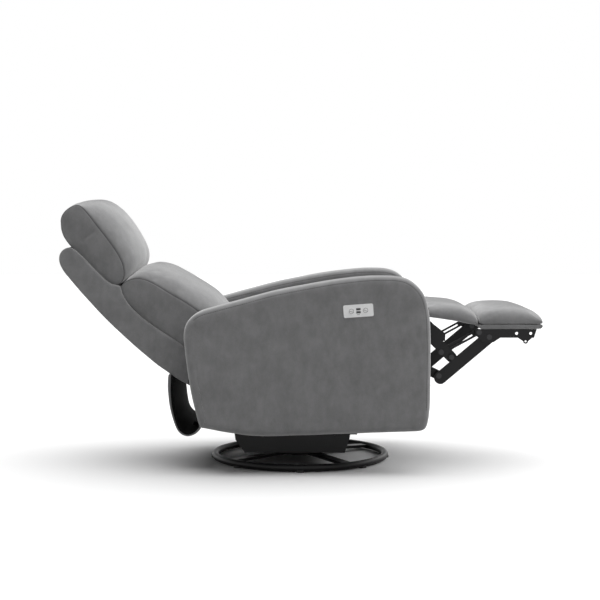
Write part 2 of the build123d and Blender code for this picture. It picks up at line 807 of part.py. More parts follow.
def seat_section(crown, pull):
    """Side section of the seat: crown lowers the top, pull draws the ends in."""
    rear_low = deck_height(SEAT_REAR) + WEBBING_THICKNESS + SOFT_GAP
    front_top = SEAT_FRONT_TOP - crown
    rear_top = SEAT_REAR_TOP - crown
    rear = SEAT_REAR + pull
    front = SEAT_NOSE - pull
    foot = (rear + SEAT_FOOT, rear_low + SOFT_GAP)
    knee = (DECK_FRONT[0] + SEAT_FOOT, SEAT_FRONT_BOTTOM - SOFT_GAP)
    channel = SEAT_CHANNEL_X
    channel_top = (front_top + rear_top) / 2 + SEAT_CHANNEL_RISE
    return outline(foot, [
        (knee,),
        ((SEAT_FRONT_LOW - pull, SEAT_FRONT_BOTTOM),),
        ((front, front_top - SEAT_NOSE_DROP), (front - SEAT_NOSE_ROLL, front_top)),
        (((front + channel) / 2, front_top + SEAT_PUFF), (channel, channel_top)),
        (((rear + channel) / 2, channel_top - SEAT_PUFF), (rear + SEAT_REAR_ROLL, rear_top)),
        ((rear, rear_top - SEAT_REAR_DROP), foot),
    ])


def seat_cushion():
    edge = SEAT_HALF_WIDTH
    rolled = edge - SEAT_EDGE_ROLL
    stations = [(-edge, 1), (-rolled, SEAT_EDGE_SHARE), (0, 0), (rolled, SEAT_EDGE_SHARE), (edge, 1)]
    sections = [(y, share * SEAT_SIDE_DROP, share * SEAT_END_PULL) for y, share in stations]
    return loft([side_plane(y) * seat_section(crown, pull) for y, crown, pull in sections])


# Rear lower panel

def rear_curve(inset):
    """Outer line of the rear panel, drawn in by inset, from its top to the end of its hook."""
    slope = REAR_HOOK_SLOPE
    return [
        (REAR_PANEL_X + inset, REAR_PANEL_TOP - inset * REAR_LIP_SHARE),
        shifted(REAR_PANEL_BELLY, (inset, 0)),
        shifted(REAR_PANEL_WAIST, (inset, 0)),
        shifted(REAR_PANEL_HOOK_BEND, (0, inset)),
        shifted(REAR_PANEL_HOOK, (inset * slope[0], inset * slope[1])),
    ]


def rear_curl(outer, inner):
    """One layer of the rear panel between two insets, open where the stays pass through."""
    out = rear_curve(outer)
    back = rear_curve(inner)
    sketch = outline(out[0], [
        (out[1], out[2]),
        (out[3], out[4]),
        (back[4],),
        (back[3], back[2]),
        (back[1], back[0]),
        (out[0],),
    ])
    curl = slab(sketch, -REAR_PANEL_HALF_WIDTH, REAR_PANEL_HALF_WIDTH)
    for stay in rear_panel_stays():
        curl -= stay
    return curl


def rear_panel_cover():
    return rear_curl(0, REAR_SKIN)


def rear_panel_liner():
    return rear_curl(REAR_SKIN, REAR_SKIN + REAR_LINING)


def rear_panel_stays():
    stays = []
    for side in (-1, 1):
        low = side * STAY_Y - STAY_WIDTH / 2
        front = REAR_BAR_X - BAR_WIDTH / 2
        top = STAY_BOTTOM + STAY_THICKNESS
        stays.append(block(STAY_REAR, front, low, low + STAY_WIDTH, STAY_BOTTOM, top))
    return stays


# Back

def back_outline(start, steps):
    """A side sketch given in back coordinates."""
    placed = [tuple(back_point(*point) for point in step) for step in steps]
    return outline(back_point(*start), placed)


def shell_outline():
    tail = (-SHELL_TAIL, SHELL_TAIL_RISE)
    middle = (SHELL_THICKNESS + SHELL_TAIL_RISE) / 2
    top_bend = (SHELL_LENGTH + SHELL_TOP_BULGE, SHELL_THICKNESS / 2)
    return back_outline(tail, [
        ((0, 0),),
        ((SHELL_LENGTH / 2, -SHELL_BOW), (SHELL_LENGTH, 0)),
        (top_bend, (SHELL_LENGTH - SHELL_TOP_SET, SHELL_THICKNESS)),
        ((-SHELL_TAIL + SHELL_TAIL_SET, SHELL_THICKNESS),),
        ((-SHELL_TAIL - SHELL_TAIL_BULGE, middle), tail),
    ])


def back_frame():
    front = RECLINE_PIVOT_N + STILE_DEPTH / 2
    rear = RECLINE_PIVOT_N - STILE_DEPTH / 2

    def strip(low, high):
        corners = [(low, rear), (high, rear), (high, front), (low, front)]
        return polygon([back_point(*corner) for corner in corners])

    stile = strip(RECLINE_PIVOT_U - STILE_FOOT, STILE_TOP)
    left, right = pair(stile, STILE_INSIDE, STILE_INSIDE + STILE_WIDTH)
    frame = left + right
    for height in BACK_RAIL_HEIGHTS:
        frame += slab(strip(height, height + STILE_WIDTH), -STILE_INSIDE, STILE_INSIDE)
    return frame


def back_frame_bored():
    reach = STILE_INSIDE + STILE_WIDTH
    return back_frame() - slab(hole(RECLINE_PIVOT, RECLINE_PIN_RADIUS + RUNNING_GAP), -reach, reach)


def back_shell():
    centre = back_point(SHELL_LENGTH / 2, SHELL_THICKNESS / 2)
    half = BACK_HALF_WIDTH
    shell = padded_panel(shell_outline(), centre, -half, half, SHELL_ROLL, SHELL_ROLL_SCALE)
    bore = hole(RECLINE_PIVOT, RECLINE_PIN_RADIUS + 2 * FACE_GAP)
    for side in pair(bore, STILE_INSIDE, half):
        shell -= side
    return shell - back_frame()


def back_cushion_section(crown):
    """Side section of the back cushion: crown is how far its front stands out past the side seam."""
    rest = SHELL_THICKNESS + SOFT_GAP
    edge = crown * CROWN_EDGE_SHARE
    top = CUSHION_HIGH - CUSHION_CORNER
    hem = (CUSHION_LOW + CUSHION_HEM_RISE, SEAM_LOW + edge)
    return back_outline((CUSHION_LOW, rest), [
        ((top, rest),),
        ((CUSHION_HIGH, rest + CUSHION_TOP_BELLY), (top, SEAM_TOP + edge)),
        ((CUSHION_MIDDLE, SEAM_MIDDLE + crown * CROWN_MIDDLE_SHARE), (LUMBAR_HEIGHT, SEAM_LUMBAR + crown)),
        ((CUSHION_LOW + CUSHION_HEM, SEAM_LUMBAR - SEAM_HEM_DROP + crown), hem),
        ((CUSHION_LOW - CUSHION_END_BULGE, CUSHION_END_BELLY), (CUSHION_LOW, rest)),
    ])


def cushion_loft(section, edge, roll, crown):
    """A cushion through side sections, flat at its sides and crowned between them."""
    share = CROWN_STATION_SHARE
    stations = [(-edge, 0), (-edge + roll, share), (0, 1), (edge - roll, share), (edge, 0)]
    return loft([side_plane(y) * section(share * crown) for y, share in stations])


def back_cushion():
    return cushion_loft(back_cushion_section, CUSHION_HALF_WIDTH, CUSHION_ROLL, CUSHION_CROWN)


def headrest_section(crown):
    """Side section of the headrest bolster."""
    rest = SHELL_THICKNESS + SOFT_GAP
    middle = (HEADREST_LOW + HEADREST_HIGH) / 2 + HEADREST_MIDDLE_RISE
    heel = (HEADREST_LOW + HEADREST_HEEL, rest)
    cap = (HEADREST_HIGH + HEADREST_CAP_BULGE, rest + HEADREST_CAP_BELLY + crown * HEADREST_CAP_CROWN)
    brow = (HEADREST_HIGH + HEADREST_BROW, HEADREST_SEAM_TOP + crown * HEADREST_BROW_CROWN)
    face = (middle, HEADREST_SEAM_MIDDLE + crown * HEADREST_FACE_CROWN)
    chin = (HEADREST_LOW + HEADREST_CHIN, HEADREST_SEAM_LOW + crown * HEADREST_CHIN_CROWN)
    under = (HEADREST_LOW - HEADREST_CHIN_BULGE, rest + HEADREST_CHIN_BELLY + crown * HEADREST_CHIN_ROLL)
    return back_outline(heel, [
        ((HEADREST_HIGH, rest),),
        (cap, brow),
        (face, chin),
        (under, heel),
    ])


def headrest_cushion():
    return cushion_loft(headrest_section, HEADREST_HALF_WIDTH, HEADREST_ROLL, HEADREST_CROWN)


def recline_ears():
    end = shifted(RECLINE_PIVOT, (EAR_REACH, 0))
    sketch = bar(RECLINE_PIVOT, end, EAR_WIDTH) - hole(RECLINE_PIVOT, RECLINE_PIN_RADIUS)
    return pair(sketch, ARM_INNER - EAR_THICKNESS, ARM_INNER)


def recline_pins():
    return pair(hole(RECLINE_PIVOT, RECLINE_PIN_RADIUS), STILE_INSIDE, ARM_INNER)


# Footrest links

def pivot_pin(point, held, running):
    """A rivet on both sides, held in one layer and running in another, with flat heads."""
    inner = layer(running)[0] - FACE_GAP
    outer = layer(held)[1]
    shank = pair(hole(point, RIVET_RADIUS), inner, outer)
    inside = pair(hole(point, RIVET_HEAD_RADIUS), inner - RIVET_HEAD, inner)
    outside = pair(hole(point, RIVET_HEAD_RADIUS), outer, outer + RIVET_HEAD)
    return [shank[side] + inside[side] + outside[side] for side in (0, 1)]


def running_hole(point):
    return hole(point, RIVET_RADIUS + RUNNING_GAP)


def rocker_links():
    sketch = bar(ROCKER_PIVOT, ROCKER_ELBOW, ROCKER_WIDTH) + bar(ROCKER_ELBOW, ROCKER_END, ROCKER_WIDTH)
    sketch += polygon([shifted(ROCKER_ELBOW, corner) for corner in ELBOW_PLATE])
    sketch -= hole(ROCKER_PIVOT, TORQUE_TUBE_RADIUS)
    sketch -= running_hole(ROCKER_END)
    sketch -= hole(CONTROL_LOW, RIVET_RADIUS)
    return pair(sketch, *layer(ROCKER_LAYER))


def rocker_rivets():
    return pivot_pin(CONTROL_LOW, ROCKER_LAYER, CONTROL_LAYER)


def torque_tube():
    reach = layer(ROCKER_LAYER)[1]
    tube = slab(hole(ROCKER_PIVOT, TORQUE_TUBE_RADIUS), -reach, reach)
    return tube - slab(hole(ROCKER_PIVOT, TORQUE_TUBE_RADIUS - TORQUE_TUBE_WALL), -reach, reach)


def long_links():
    sketch = bar(shifted(LONG_LINK_LOW, LONG_LINK_FOOT), LONG_LINK_TOP, LONG_LINK_WIDTH)
    for point in (LONG_LINK_LOW, ROCKER_END):
        sketch -= hole(point, RIVET_RADIUS)
    sketch -= running_hole(LONG_LINK_TOP)
    return pair(sketch, *layer(LONG_LAYER))


def long_link_rivets():
    knees = pivot_pin(ROCKER_END, LONG_LAYER, ROCKER_LAYER)
    return knees + pivot_pin(LONG_LINK_LOW, LONG_LAYER, LOWER_LAYER)


def control_links():
    run = (CONTROL_TOP[0] - CONTROL_LOW[0], CONTROL_TOP[1] - CONTROL_LOW[1])
    slot = [shifted(CONTROL_LOW, (share * run[0], share * run[1])) for share in CONTROL_SLOT_SHARES]
    sketch = bar(CONTROL_LOW, CONTROL_TOP, CONTROL_LINK_WIDTH) - bar(*slot, CONTROL_SLOT_WIDTH)
    for point in (CONTROL_LOW, CONTROL_TOP):
        sketch -= running_hole(point)
    return pair(sketch, *layer(CONTROL_LAYER))


def lower_links():
    sketch = bar(LOWER_PIVOT, LONG_LINK_LOW, LOWER_LINK_WIDTH)
    for point in (LOWER_PIVOT, LONG_LINK_LOW):
        sketch -= running_hole(point)
    return pair(sketch, *layer(LOWER_LAYER))


def lower_link_pins():
    inner = layer(PLATE_LAYER)[0]
    head = layer(LOWER_LAYER)[1] + FACE_GAP
    shank = pair(hole(LOWER_PIVOT, RIVET_RADIUS), inner, head)
    cap = pair(hole(LOWER_PIVOT, RIVET_HEAD_RADIUS), head, head + RIVET_HEAD)
    return [shank[side] + cap[side] for side in (0, 1)]


# Footrest drive

def drive_arm():
    slope = cos(radians(DRIVE_ARM_ANGLE)), -sin(radians(DRIVE_ARM_ANGLE))
    tip = shifted(ROCKER_PIVOT, (DRIVE_SLOT_OUTER * slope[0], DRIVE_SLOT_OUTER * slope[1]))
    start = shifted(ROCKER_PIVOT, (DRIVE_SLOT_INNER * slope[0], DRIVE_SLOT_INNER * slope[1]))
    sketch = bar(ROCKER_PIVOT, tip, DRIVE_ARM_WIDTH) + hole(ROCKER_PIVOT, DRIVE_HUB_RADIUS)
    sketch -= hole(ROCKER_PIVOT, TORQUE_TUBE_RADIUS)
    sketch -= bar(start, tip, DRIVE_SLOT_WIDTH)
    return slab(sketch, -DRIVE_ARM_THICKNESS / 2, DRIVE_ARM_THICKNESS / 2)


def actuator_slider():
    """Two cheeks that run on the rail's walls, joined by the pin in the drive arm's slot."""
    pin = (SLIDER_PIN_X, SLIDER_PIN_Z)
    low = RAIL_TOP + FACE_GAP
    top = SLIDER_PIN_Z + 2 * SLIDER_PIN_RADIUS
    side = RAIL_GAP / 2 + SLIDER_WALL
    cheek = Pos(SLIDER_PIN_X, (low + top) / 2) * RectangleRounded(SLIDER_LENGTH, top - low, SLIDER_PIN_RADIUS)
    left, right = pair(cheek, RAIL_GAP / 2, side)
    return left + right + slab(hole(pin, SLIDER_PIN_RADIUS), -side, side)


def motor_rear():
    return DECK_REAR[0] + SEAT_RAIL_WIDTH


def motor_front():
    return motor_rear() + MOTOR_LENGTH


def actuator_rail():
    """An open channel, so that the drive arm can swing between its walls."""
    half = RAIL_WIDTH / 2
    gap = RAIL_GAP / 2
    rail = block(motor_front(), RAIL_FRONT, -half, half, RAIL_BOTTOM, RAIL_TOP)
    return rail - block(motor_front(), RAIL_FRONT, -gap, gap, RAIL_BOTTOM + RAIL_FLOOR, RAIL_TOP)


def actuator_motor():
    half = MOTOR_WIDTH / 2
    top = RAIL_TOP
    bottom = top - MOTOR_DEPTH
    gearbox = block(motor_rear(), motor_front(), -half, half, bottom, top)
    middle = (motor_rear() + motor_front()) / 2
    motor = Pos(middle, half + MOTOR_BODY_LENGTH / 2, (bottom + top) / 2)
    can = motor * Rot(90, 0, 0) * Cylinder(MOTOR_BODY_RADIUS, MOTOR_BODY_LENGTH)
    return gearbox + can


def actuator_hangers():
    near = RAIL_WIDTH / 2
    rear = DECK_FRONT[0] - SEAT_RAIL_WIDTH
    strap = polygon([
        (rear, RAIL_BOTTOM),
        (DECK_FRONT[0], RAIL_BOTTOM),
        (DECK_FRONT[0], deck_height(DECK_FRONT[0]) - SEAT_RAIL_HEIGHT),
        (rear, deck_height(rear) - SEAT_RAIL_HEIGHT),
    ])
    return pair(strap, near, near + HANGER_THICKNESS)


# Ottoman and mid pad

def ottoman_brackets():
    tail = shifted(CONTROL_TOP, BRACKET_TAIL)
    front = tail[0] + BRACKET_LENGTH
    top = OTTOMAN_BOTTOM
    under = top - BRACKET_HEIGHT
    low = LONG_LINK_TOP[1] - BRACKET_LOW
    hook = (tail[0] + BRACKET_HOOK[0], top + BRACKET_HOOK[1])
    sketch = polygon([
        (tail[0], top),
        tail,
        (LONG_LINK_TOP[0] - BRACKET_CHEEK[0], low),
        (LONG_LINK_TOP[0] + BRACKET_CHEEK[1], low),
        (LONG_LINK_TOP[0] + BRACKET_STEP, under),
        (front - BRACKET_SNOUT, under),
        (front, top),
    ])
    half = BRACKET_HOOK_WIDTH / 2
    sketch += polygon([
        (hook[0] + BRACKET_HOOK_ROOT[0], under),
        (hook[0] - half, hook[1]),
        (hook[0] + half, hook[1]),
        (hook[0] + BRACKET_HOOK_ROOT[1], under),
    ])
    sketch += hole(hook, half)
    sketch -= hole(hook, BRACKET_HOOK_BORE)
    for point in (LONG_LINK_TOP, CONTROL_TOP):
        sketch -= hole(point, RIVET_RADIUS)
    for reach in BRACKET_HOLES:
        sketch -= hole((tail[0] + reach, top - BRACKET_HEIGHT / 2), RIVET_RADIUS)
    return pair(sketch, *layer(BRACKET_LAYER))


def ottoman_rivets():
    front = pivot_pin(LONG_LINK_TOP, BRACKET_LAYER, LONG_LAYER)
    return front + pivot_pin(CONTROL_TOP, BRACKET_LAYER, CONTROL_LAYER)


def ottoman_board():
    top = OTTOMAN_BOTTOM + OTTOMAN_BOARD
    start = (OTTOMAN_REAR + OTTOMAN_INSET, OTTOMAN_BOTTOM)
    bend = (OTTOMAN_FRONT - OTTOMAN_INSET, OTTOMAN_BOTTOM + OTTOMAN_BOARD / 4)
    sketch = outline(start, [
        ((OTTOMAN_FRONT - OTTOMAN_TOE, OTTOMAN_BOTTOM),),
        (bend, (OTTOMAN_FRONT, top)),
        ((OTTOMAN_REAR, top),),
        (start,),
    ])
    return slab(sketch, -OTTOMAN_HALF_WIDTH, OTTOMAN_HALF_WIDTH)


def ottoman_section(crown):
    """Side section of the ottoman cushion."""
    low = OTTOMAN_BOTTOM + OTTOMAN_BOARD + SOFT_GAP
    top = OTTOMAN_SIDE_TOP + crown
    middle = (OTTOMAN_REAR + OTTOMAN_FRONT) / 2
    start = (OTTOMAN_REAR + OTTOMAN_INSET, low)
    nose_bend = (OTTOMAN_FRONT + OTTOMAN_NOSE_BELLY[0], low + OTTOMAN_NOSE_BELLY[1])
    heel_bend = (OTTOMAN_REAR - OTTOMAN_HEEL_BELLY[0], low + OTTOMAN_HEEL_BELLY[1])
    return outline(start, [
        ((OTTOMAN_FRONT - OTTOMAN_INSET, low),),
        (nose_bend, (OTTOMAN_FRONT - OTTOMAN_NOSE[0], top - OTTOMAN_NOSE[1])),
        ((middle, top), (OTTOMAN_REAR + OTTOMAN_HEEL[0], top - OTTOMAN_HEEL[1])),
        (heel_bend, start),
    ])


def ottoman_cushion():
    return cushion_loft(ottoman_section, OTTOMAN_HALF_WIDTH, OTTOMAN_ROLL, OTTOMAN_CROWN - OTTOMAN_SIDE_TOP)


def mid_pad_section(crown):
    """Side section of the pad between the seat and the ottoman."""
    top = MID_PAD_TOP - MID_PAD_SIDE_DROP + crown
    hinge_x, hinge_z = MID_PAD_HINGE
    under = (hinge_x, hinge_z - MID_PAD_REAR_RADIUS)
    tip_bend = (MID_PAD_TIP, MID_PAD_BOTTOM + MID_PAD_TIP_DROP)
    return outline(under, [
        ((MID_PAD_TIP - MID_PAD_TIP_FOOT, MID_PAD_BOTTOM),),
        (tip_bend, (MID_PAD_TIP - MID_PAD_TIP_SET, top - MID_PAD_TIP_DROP)),
        (((hinge_x + MID_PAD_TIP) / 2, top), (hinge_x + MID_PAD_HEEL, top)),
        ((hinge_x - MID_PAD_REAR_RADIUS, hinge_z), under),
    ])


def mid_pad_cushion():
    pad = cushion_loft(mid_pad_section, MID_PAD_HALF_WIDTH, MID_PAD_ROLL, MID_PAD_SIDE_DROP)
    reach = MID_PAD_HALF_WIDTH
    return pad - slab(hole(MID_PAD_HINGE, HINGE_ROD_RADIUS), -reach, reach)


def mid_pad_rod():
    return slab(hole(MID_PAD_HINGE, HINGE_ROD_RADIUS), -ARM_INNER + FACE_GAP, ARM_INNER - FACE_GAP)


def mid_pad_lugs():
    sketch = bar(shifted(MID_PAD_HINGE, (-LUG_REACH, 0)), MID_PAD_HINGE, LUG_WIDTH)
    sketch -= hole(MID_PAD_HINGE, HINGE_ROD_RADIUS + RUNNING_GAP)
    return pair(sketch, ARM_INNER - EAR_THICKNESS, ARM_INNER)


NODES = {
    "base_ring": base_ring(),
    "base_spider": base_spider(),
    "floor_glides": floor_glides(),
    "swivel_lower_plate": swivel_lower_plate(),
    "bearing_cage": bearing_cage(),
    "bearing_balls": bearing_balls(),
    "king_bolt": king_bolt(),
    "king_nut": king_nut(),
    "swivel_upper_plate": swivel_upper_plate(),
    "swivel_pan": swivel_pan(),
    "pan_bolts": pan_bolts(),
    "rear_cross_bar": cross_bar(REAR_BAR_X),
    "front_cross_bar": cross_bar(FRONT_BAR_X),
    "left_arm": left_arm(),
    "right_arm": right_arm(),
    "arm_boards": arm_boards(),
    "control_plate": control_plate(),
    "usb_sockets": usb_sockets(),
    "control_box": control_box(),
    "recline_button": button(-1),
    "upright_button": button(1),
    "left_side_plate": left_side_plate(),
    "right_side_plate": right_side_plate(),
    "seat_side_rails": seat_side_rails(),
    "seat_cross_rails": seat_cross_rails(),
    "seat_webbing": seat_webbing(),
    "seat_cushion": seat_cushion(),
    "rear_panel_cover": rear_panel_cover(),
    "rear_panel_liner": rear_panel_liner(),
    "rear_panel_stays": rear_panel_stays(),
    "recline_ears": recline_ears(),
    "recline_pins": recline_pins(),
    "back_frame": back_frame_bored(),
    "back_shell": back_shell(),
    "back_cushion": back_cushion(),
    "headrest_cushion": headrest_cushion(),
    "rocker_links": rocker_links(),
    "rocker_rivets": rocker_rivets(),
    "torque_tube": torque_tube(),
    "drive_arm": drive_arm(),
    "long_links": long_links(),
    "long_link_rivets": long_link_rivets(),
    "control_links": control_links(),
    "lower_links": lower_links(),
    "lower_link_pins": lower_link_pins(),
    "actuator_slider": actuator_slider(),
    "actuator_rail": actuator_rail(),
    "actuator_motor": actuator_motor(),
    "actuator_hangers": actuator_hangers(),
    "ottoman_brackets": ottoman_brackets(),
    "ottoman_rivets": ottoman_rivets(),
    "ottoman_board": ottoman_board(),
    "ottoman_cushion": ottoman_cushion(),
    "mid_pad_cushion": mid_pad_cushion(),
    "mid_pad_rod": mid_pad_rod(),
    "mid_pad_lugs": mid_pad_lugs(),
}

os.makedirs("parts", exist_ok=True)
for name, shape in NODES.items():
    solids = shape if isinstance(shape, list) else [shape]
    solids = [solid for piece in solids for solid in piece.solids()]
    export_step(Compound(children=solids), f"parts/{name}.step")
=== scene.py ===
import bmesh
import bpy
import json
import math
from bpy.props import FloatProperty, FloatVectorProperty, IntProperty, PointerProperty
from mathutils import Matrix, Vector, noise


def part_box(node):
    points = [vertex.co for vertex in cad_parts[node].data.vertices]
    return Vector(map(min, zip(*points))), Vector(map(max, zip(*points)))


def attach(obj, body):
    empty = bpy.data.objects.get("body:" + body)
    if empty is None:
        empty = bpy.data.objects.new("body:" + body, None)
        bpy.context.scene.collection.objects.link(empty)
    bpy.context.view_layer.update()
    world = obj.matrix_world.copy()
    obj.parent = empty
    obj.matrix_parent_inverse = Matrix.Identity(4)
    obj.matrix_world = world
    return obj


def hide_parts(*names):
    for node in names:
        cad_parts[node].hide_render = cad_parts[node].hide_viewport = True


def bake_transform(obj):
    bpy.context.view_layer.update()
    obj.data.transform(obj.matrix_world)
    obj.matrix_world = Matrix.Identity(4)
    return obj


bl_info = {
    "name": "Swivel recliner looks",
    "version": (1, 0, 0),
    "blender": (4, 5, 0),
    "location": "View3D > Sidebar > Recliner",
    "description": "Dresses the solid model of a swivel recliner with padding, stitching and finishes",
    "category": "Object",
}

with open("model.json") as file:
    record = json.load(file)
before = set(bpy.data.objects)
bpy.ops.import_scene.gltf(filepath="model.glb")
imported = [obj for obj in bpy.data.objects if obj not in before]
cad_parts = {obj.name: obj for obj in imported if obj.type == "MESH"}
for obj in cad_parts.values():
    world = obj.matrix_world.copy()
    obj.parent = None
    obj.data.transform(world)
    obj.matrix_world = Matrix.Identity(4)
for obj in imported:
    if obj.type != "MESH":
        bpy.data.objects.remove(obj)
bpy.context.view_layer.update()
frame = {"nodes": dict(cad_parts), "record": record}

# Sizes below are in millimetres unless their comment says metres
MM = 0.001

# Points that a smooth line gets from one given point to the next
LINE_STEPS = 16

# Seams: distance of the close rows beside them, how far the thread pulls them in, and how much shade is
# painted into them
SEAM_ROW = 1.9
SEAM_DEPTH = 2.6
ARM_SEAM_DEPTH = 1.2
SEAM_PAINTED_SHADE = 0.55

# Sewing thread: its sides, its radius in metres, and the share of the pitch that a stitch fills
THREAD_SIDES = 6
THREAD_RADIUS = 0.0007
STITCH_SHARE = 0.62

# One stitch from end to end: (place along it, thickness, lift off the cover)
STITCH_PROFILE = ((-0.5, 0.5, -0.4), (-0.25, 1.0, 0.4), (0.25, 1.0, 0.4), (0.5, 0.5, -0.4))

# Unevenness of stuffed cloth: (waves per metre, share of the height)
RUFFLE_WAVES = ((9.0, 0.7), (26.0, 0.3))

# Sections across the width of a cushion or pillow, and how far a cushion's crowd towards its sides
CUSHION_SECTIONS = 56
PILLOW_SECTIONS = 60
EVEN_SHARE = 0.3
CROWDED_SHARE = 0.7

# Crown across the width: the first power keeps the middle flat, the second rounds the sides
CROWN_FLAT = 2.6
CROWN_ROUND = 0.6
PILLOW_FLAT = 8

# How far the middle of a rolled panel stands out
PANEL_BULGE = 1.5

# Share of each cover's room that its filling takes up
CUSHION_FILL = 0.7
BOARDED_FILL = 0.85
PANEL_FILL = 0.95

# A cover that may move no further than this lies on a board, and its filling isn't simulated
FIRM_LIMIT = 1

# Lean of the back, and the lower rear corner that its sizes are measured from
BACK_LEAN = math.radians(44.5)
BACK_CORNER = (-438, 332)
BACK_HALF_WIDTH = 258
CUSHION_HALF_WIDTH = 257
HEADREST_HALF_WIDTH = 252

# Sides of the back cushions drawn in: how far, between which heights off the back, and from which half width
TUCK = 15
TUCK_START = 128
TUCK_END = 62
SIDE_START = 200
SIDE_FADE = 40

# Arms: inner and outer face, how far the cover stays inside the outer one before and after it is filled,
# the rolled edge, and the rows from the side panel over the seam to that edge
ARM_INNER = 275
ARM_OUTER = 390
ARM_SETBACK = 1
PLATE_SETBACK = 0.5
ARM_ROLL = 22
ARM_SEAM_INSET = 12
ARM_SEAM_SIDE = 2.2
ARM_INSETS = (
    32, 24, 18,
    ARM_SEAM_INSET + ARM_SEAM_SIDE, ARM_SEAM_INSET, ARM_SEAM_INSET - ARM_SEAM_SIDE,
    6, 2.5, 0.6, 0,
)

# Points round an arm, and those between which its seam runs
ARM_POINTS = 288
ARM_SEAM_FIRST = 46
ARM_SEAM_LAST = 190

# Side line of the arms: (forward, up)
ARM_LINE = [
    (-328, 161), (-341, 203), (-358, 281), (-370, 360), (-378, 431), (-380, 466), (-368, 505), (-334, 535),
    (-283, 551), (-183, 578), (-84, 604), (15, 624), (114, 641), (212, 652), (262, 654), (311, 653),
    (347, 645), (372, 630), (395, 606), (409, 578), (420, 527), (424, 450), (425, 370), (424, 293),
    (423, 212), (420, 180), (412, 157), (393, 147.5), (350, 145), (209, 140), (15, 133.5), (-131, 130),
    (-228, 140), (-290, 151), (-314, 156),
]

# Side lines of the back cushions: (along the back, out from it, rise of both at the middle of the width)
CUSHION_LINE = [
    (-94, 84, 0, 0), (-99, 128, 0, 12), (-96, 168, 0, 34), (-80, 196, 0, 52), (-40, 211, 0, 62),
    (20, 215, 2, 65), (69, 212, 3, 70), (121, 203, 3, 70), (179, 187, 4, 71), (232, 174, 6, 67),
    (272, 159, 10, 63), (296, 140, 12, 54), (312, 114, 6, 30), (314, 86, 0, 8), (300, 58, 0, 0),
    (200, 54, 0, 0), (100, 54, 0, 0), (0, 54, 0, 0), (-80, 58, 0, 0),
]
HEADREST_LINE = [
    (322, 84, -4, 14), (324, 106, -5, 46), (334, 121, -5, 66), (350, 135, -2, 72), (368, 145, 4, 74),
    (404, 156, 12, 76), (452, 164, 24, 80), (508, 171, 28, 71), (554, 177, 25, 50), (586, 180, 22, 17),
    (605, 175, 18, -6), (616, 156, 12, -17), (619, 128, 8, -14), (609, 98, 2, -4), (571, 67, 0, 0),
    (520, 58, 0, 0), (440, 52, 0, 0), (374, 50, 0, 0), (338, 60, 0, 2),
]

# Side line of the shell behind them: (along the back, out from it), its edge, and the rows over that edge
SHELL_LINE = [
    (-118, 28), (-85, 16), (-38, 3), (0, -4), (58, -14), (157, -22), (257, -26), (367, -24), (455, -17),
    (502, -8), (526, 8), (535, 28), (531, 48), (516, 61), (470, 64), (390, 63), (346, 68), (316, 84),
    (290, 70), (240, 61), (180, 64), (113, 76), (55, 89), (0, 97), (-60, 99), (-100, 87), (-121, 58),
]
SHELL_POINTS = 200
SHELL_ROLL = 6
SHELL_INSETS = (12, 6, 3, 1.2, 0.3, 0)

# Section of the covered rear panel, which curls in below: down its outside, and back up its lined inside
REAR_PANEL_OUTSIDE = [
    (-438.5, 321), (-441, 291), (-440, 262), (-434, 209), (-418, 153), (-402, 125.5), (-377.5, 114.5),
    (-351, 121.5), (-332, 140), (-333, 146), (-337, 146),
]
REAR_PANEL_INSIDE = [
    (-353, 128.5), (-376, 120.5), (-398, 131), (-413, 157), (-426.5, 211), (-431, 262), (-431, 290),
    (-430, 319),
]
REAR_LINING_LINE = [
    (-428.5, 316), (-426, 270), (-420, 222), (-416.5, 190), (-410, 157), (-396, 134), (-376, 123.5),
    (-354, 131), (-340, 144.5), (-338.5, 143),
]
REAR_PANEL_POINTS = 160
REAR_PANEL_HALF_WIDTH = 265
REAR_PANEL_ROWS = 40
REAR_PANEL_ROLL = 4
REAR_PANEL_INSETS = (4, 2.4, 1, 0.2, 0)
LINING_SETBACK = 1
LINING_ROLL = 0.4
LINING_INSETS = (0.4, 0.1, 0)

# Seat and footrest, with their side lines: (forward, up, rise of both at the middle of the width)
SEAT_HALF_WIDTH = 267
MID_PAD_HALF_WIDTH = 246
OTTOMAN_HALF_WIDTH = 250
SEAT_LINE = [
    (-106, 440, 0, 0), (-112, 466, -4, 2), (-108, 490, -6, 8), (-88, 506, -2, 14), (-30, 518, 0, 17),
    (60, 529, 0, 18), (128, 533, 0, 16), (150, 529, 0, 14), (172, 536, 0, 16), (250, 549, 0, 17),
    (320, 554, 0, 17), (358, 550, 2, 16), (376, 534, 7, 10), (376, 516, 4, 2), (366, 508, 0, 0),
    (268, 507, 0, 0), (150, 481, 0, 0), (0, 452, 0, 0), (-80, 437, 0, 0),
]
MID_PAD_LINE = [
    (408, 518, 0, 0), (398, 523, -2, 8), (398, 529, -4, 20), (412, 528, -2, 29), (440, 524, 0, 33),
    (480, 518, 0, 36), (520, 512, 2, 39), (556, 505, 4, 38), (580, 498, 6, 30), (592, 493, 4, 16),
    (592, 487, 0, 3), (575, 490, 0, 0), (530, 499, 0, 0), (480, 507, 0, 0), (440, 512.5, 0, 0),
]
OTTOMAN_LINE = [
    (608, 491, 0, 0), (601, 495, -3, 9), (602, 499, -5, 22), (616, 501, -4, 33), (650, 502, 0, 39),
    (700, 502, 0, 41), (745, 501, 3, 39), (777, 500, 8, 29), (801, 500, 7, 15), (809.5, 497, 4, 7),
    (810, 492.5, 2, 2), (803, 489.8, 0, 0), (785, 491.2, 0, 0), (760, 491.5, 0, 0), (700, 491.5, 0, 0),
    (640, 491.5, 0, 0),
]
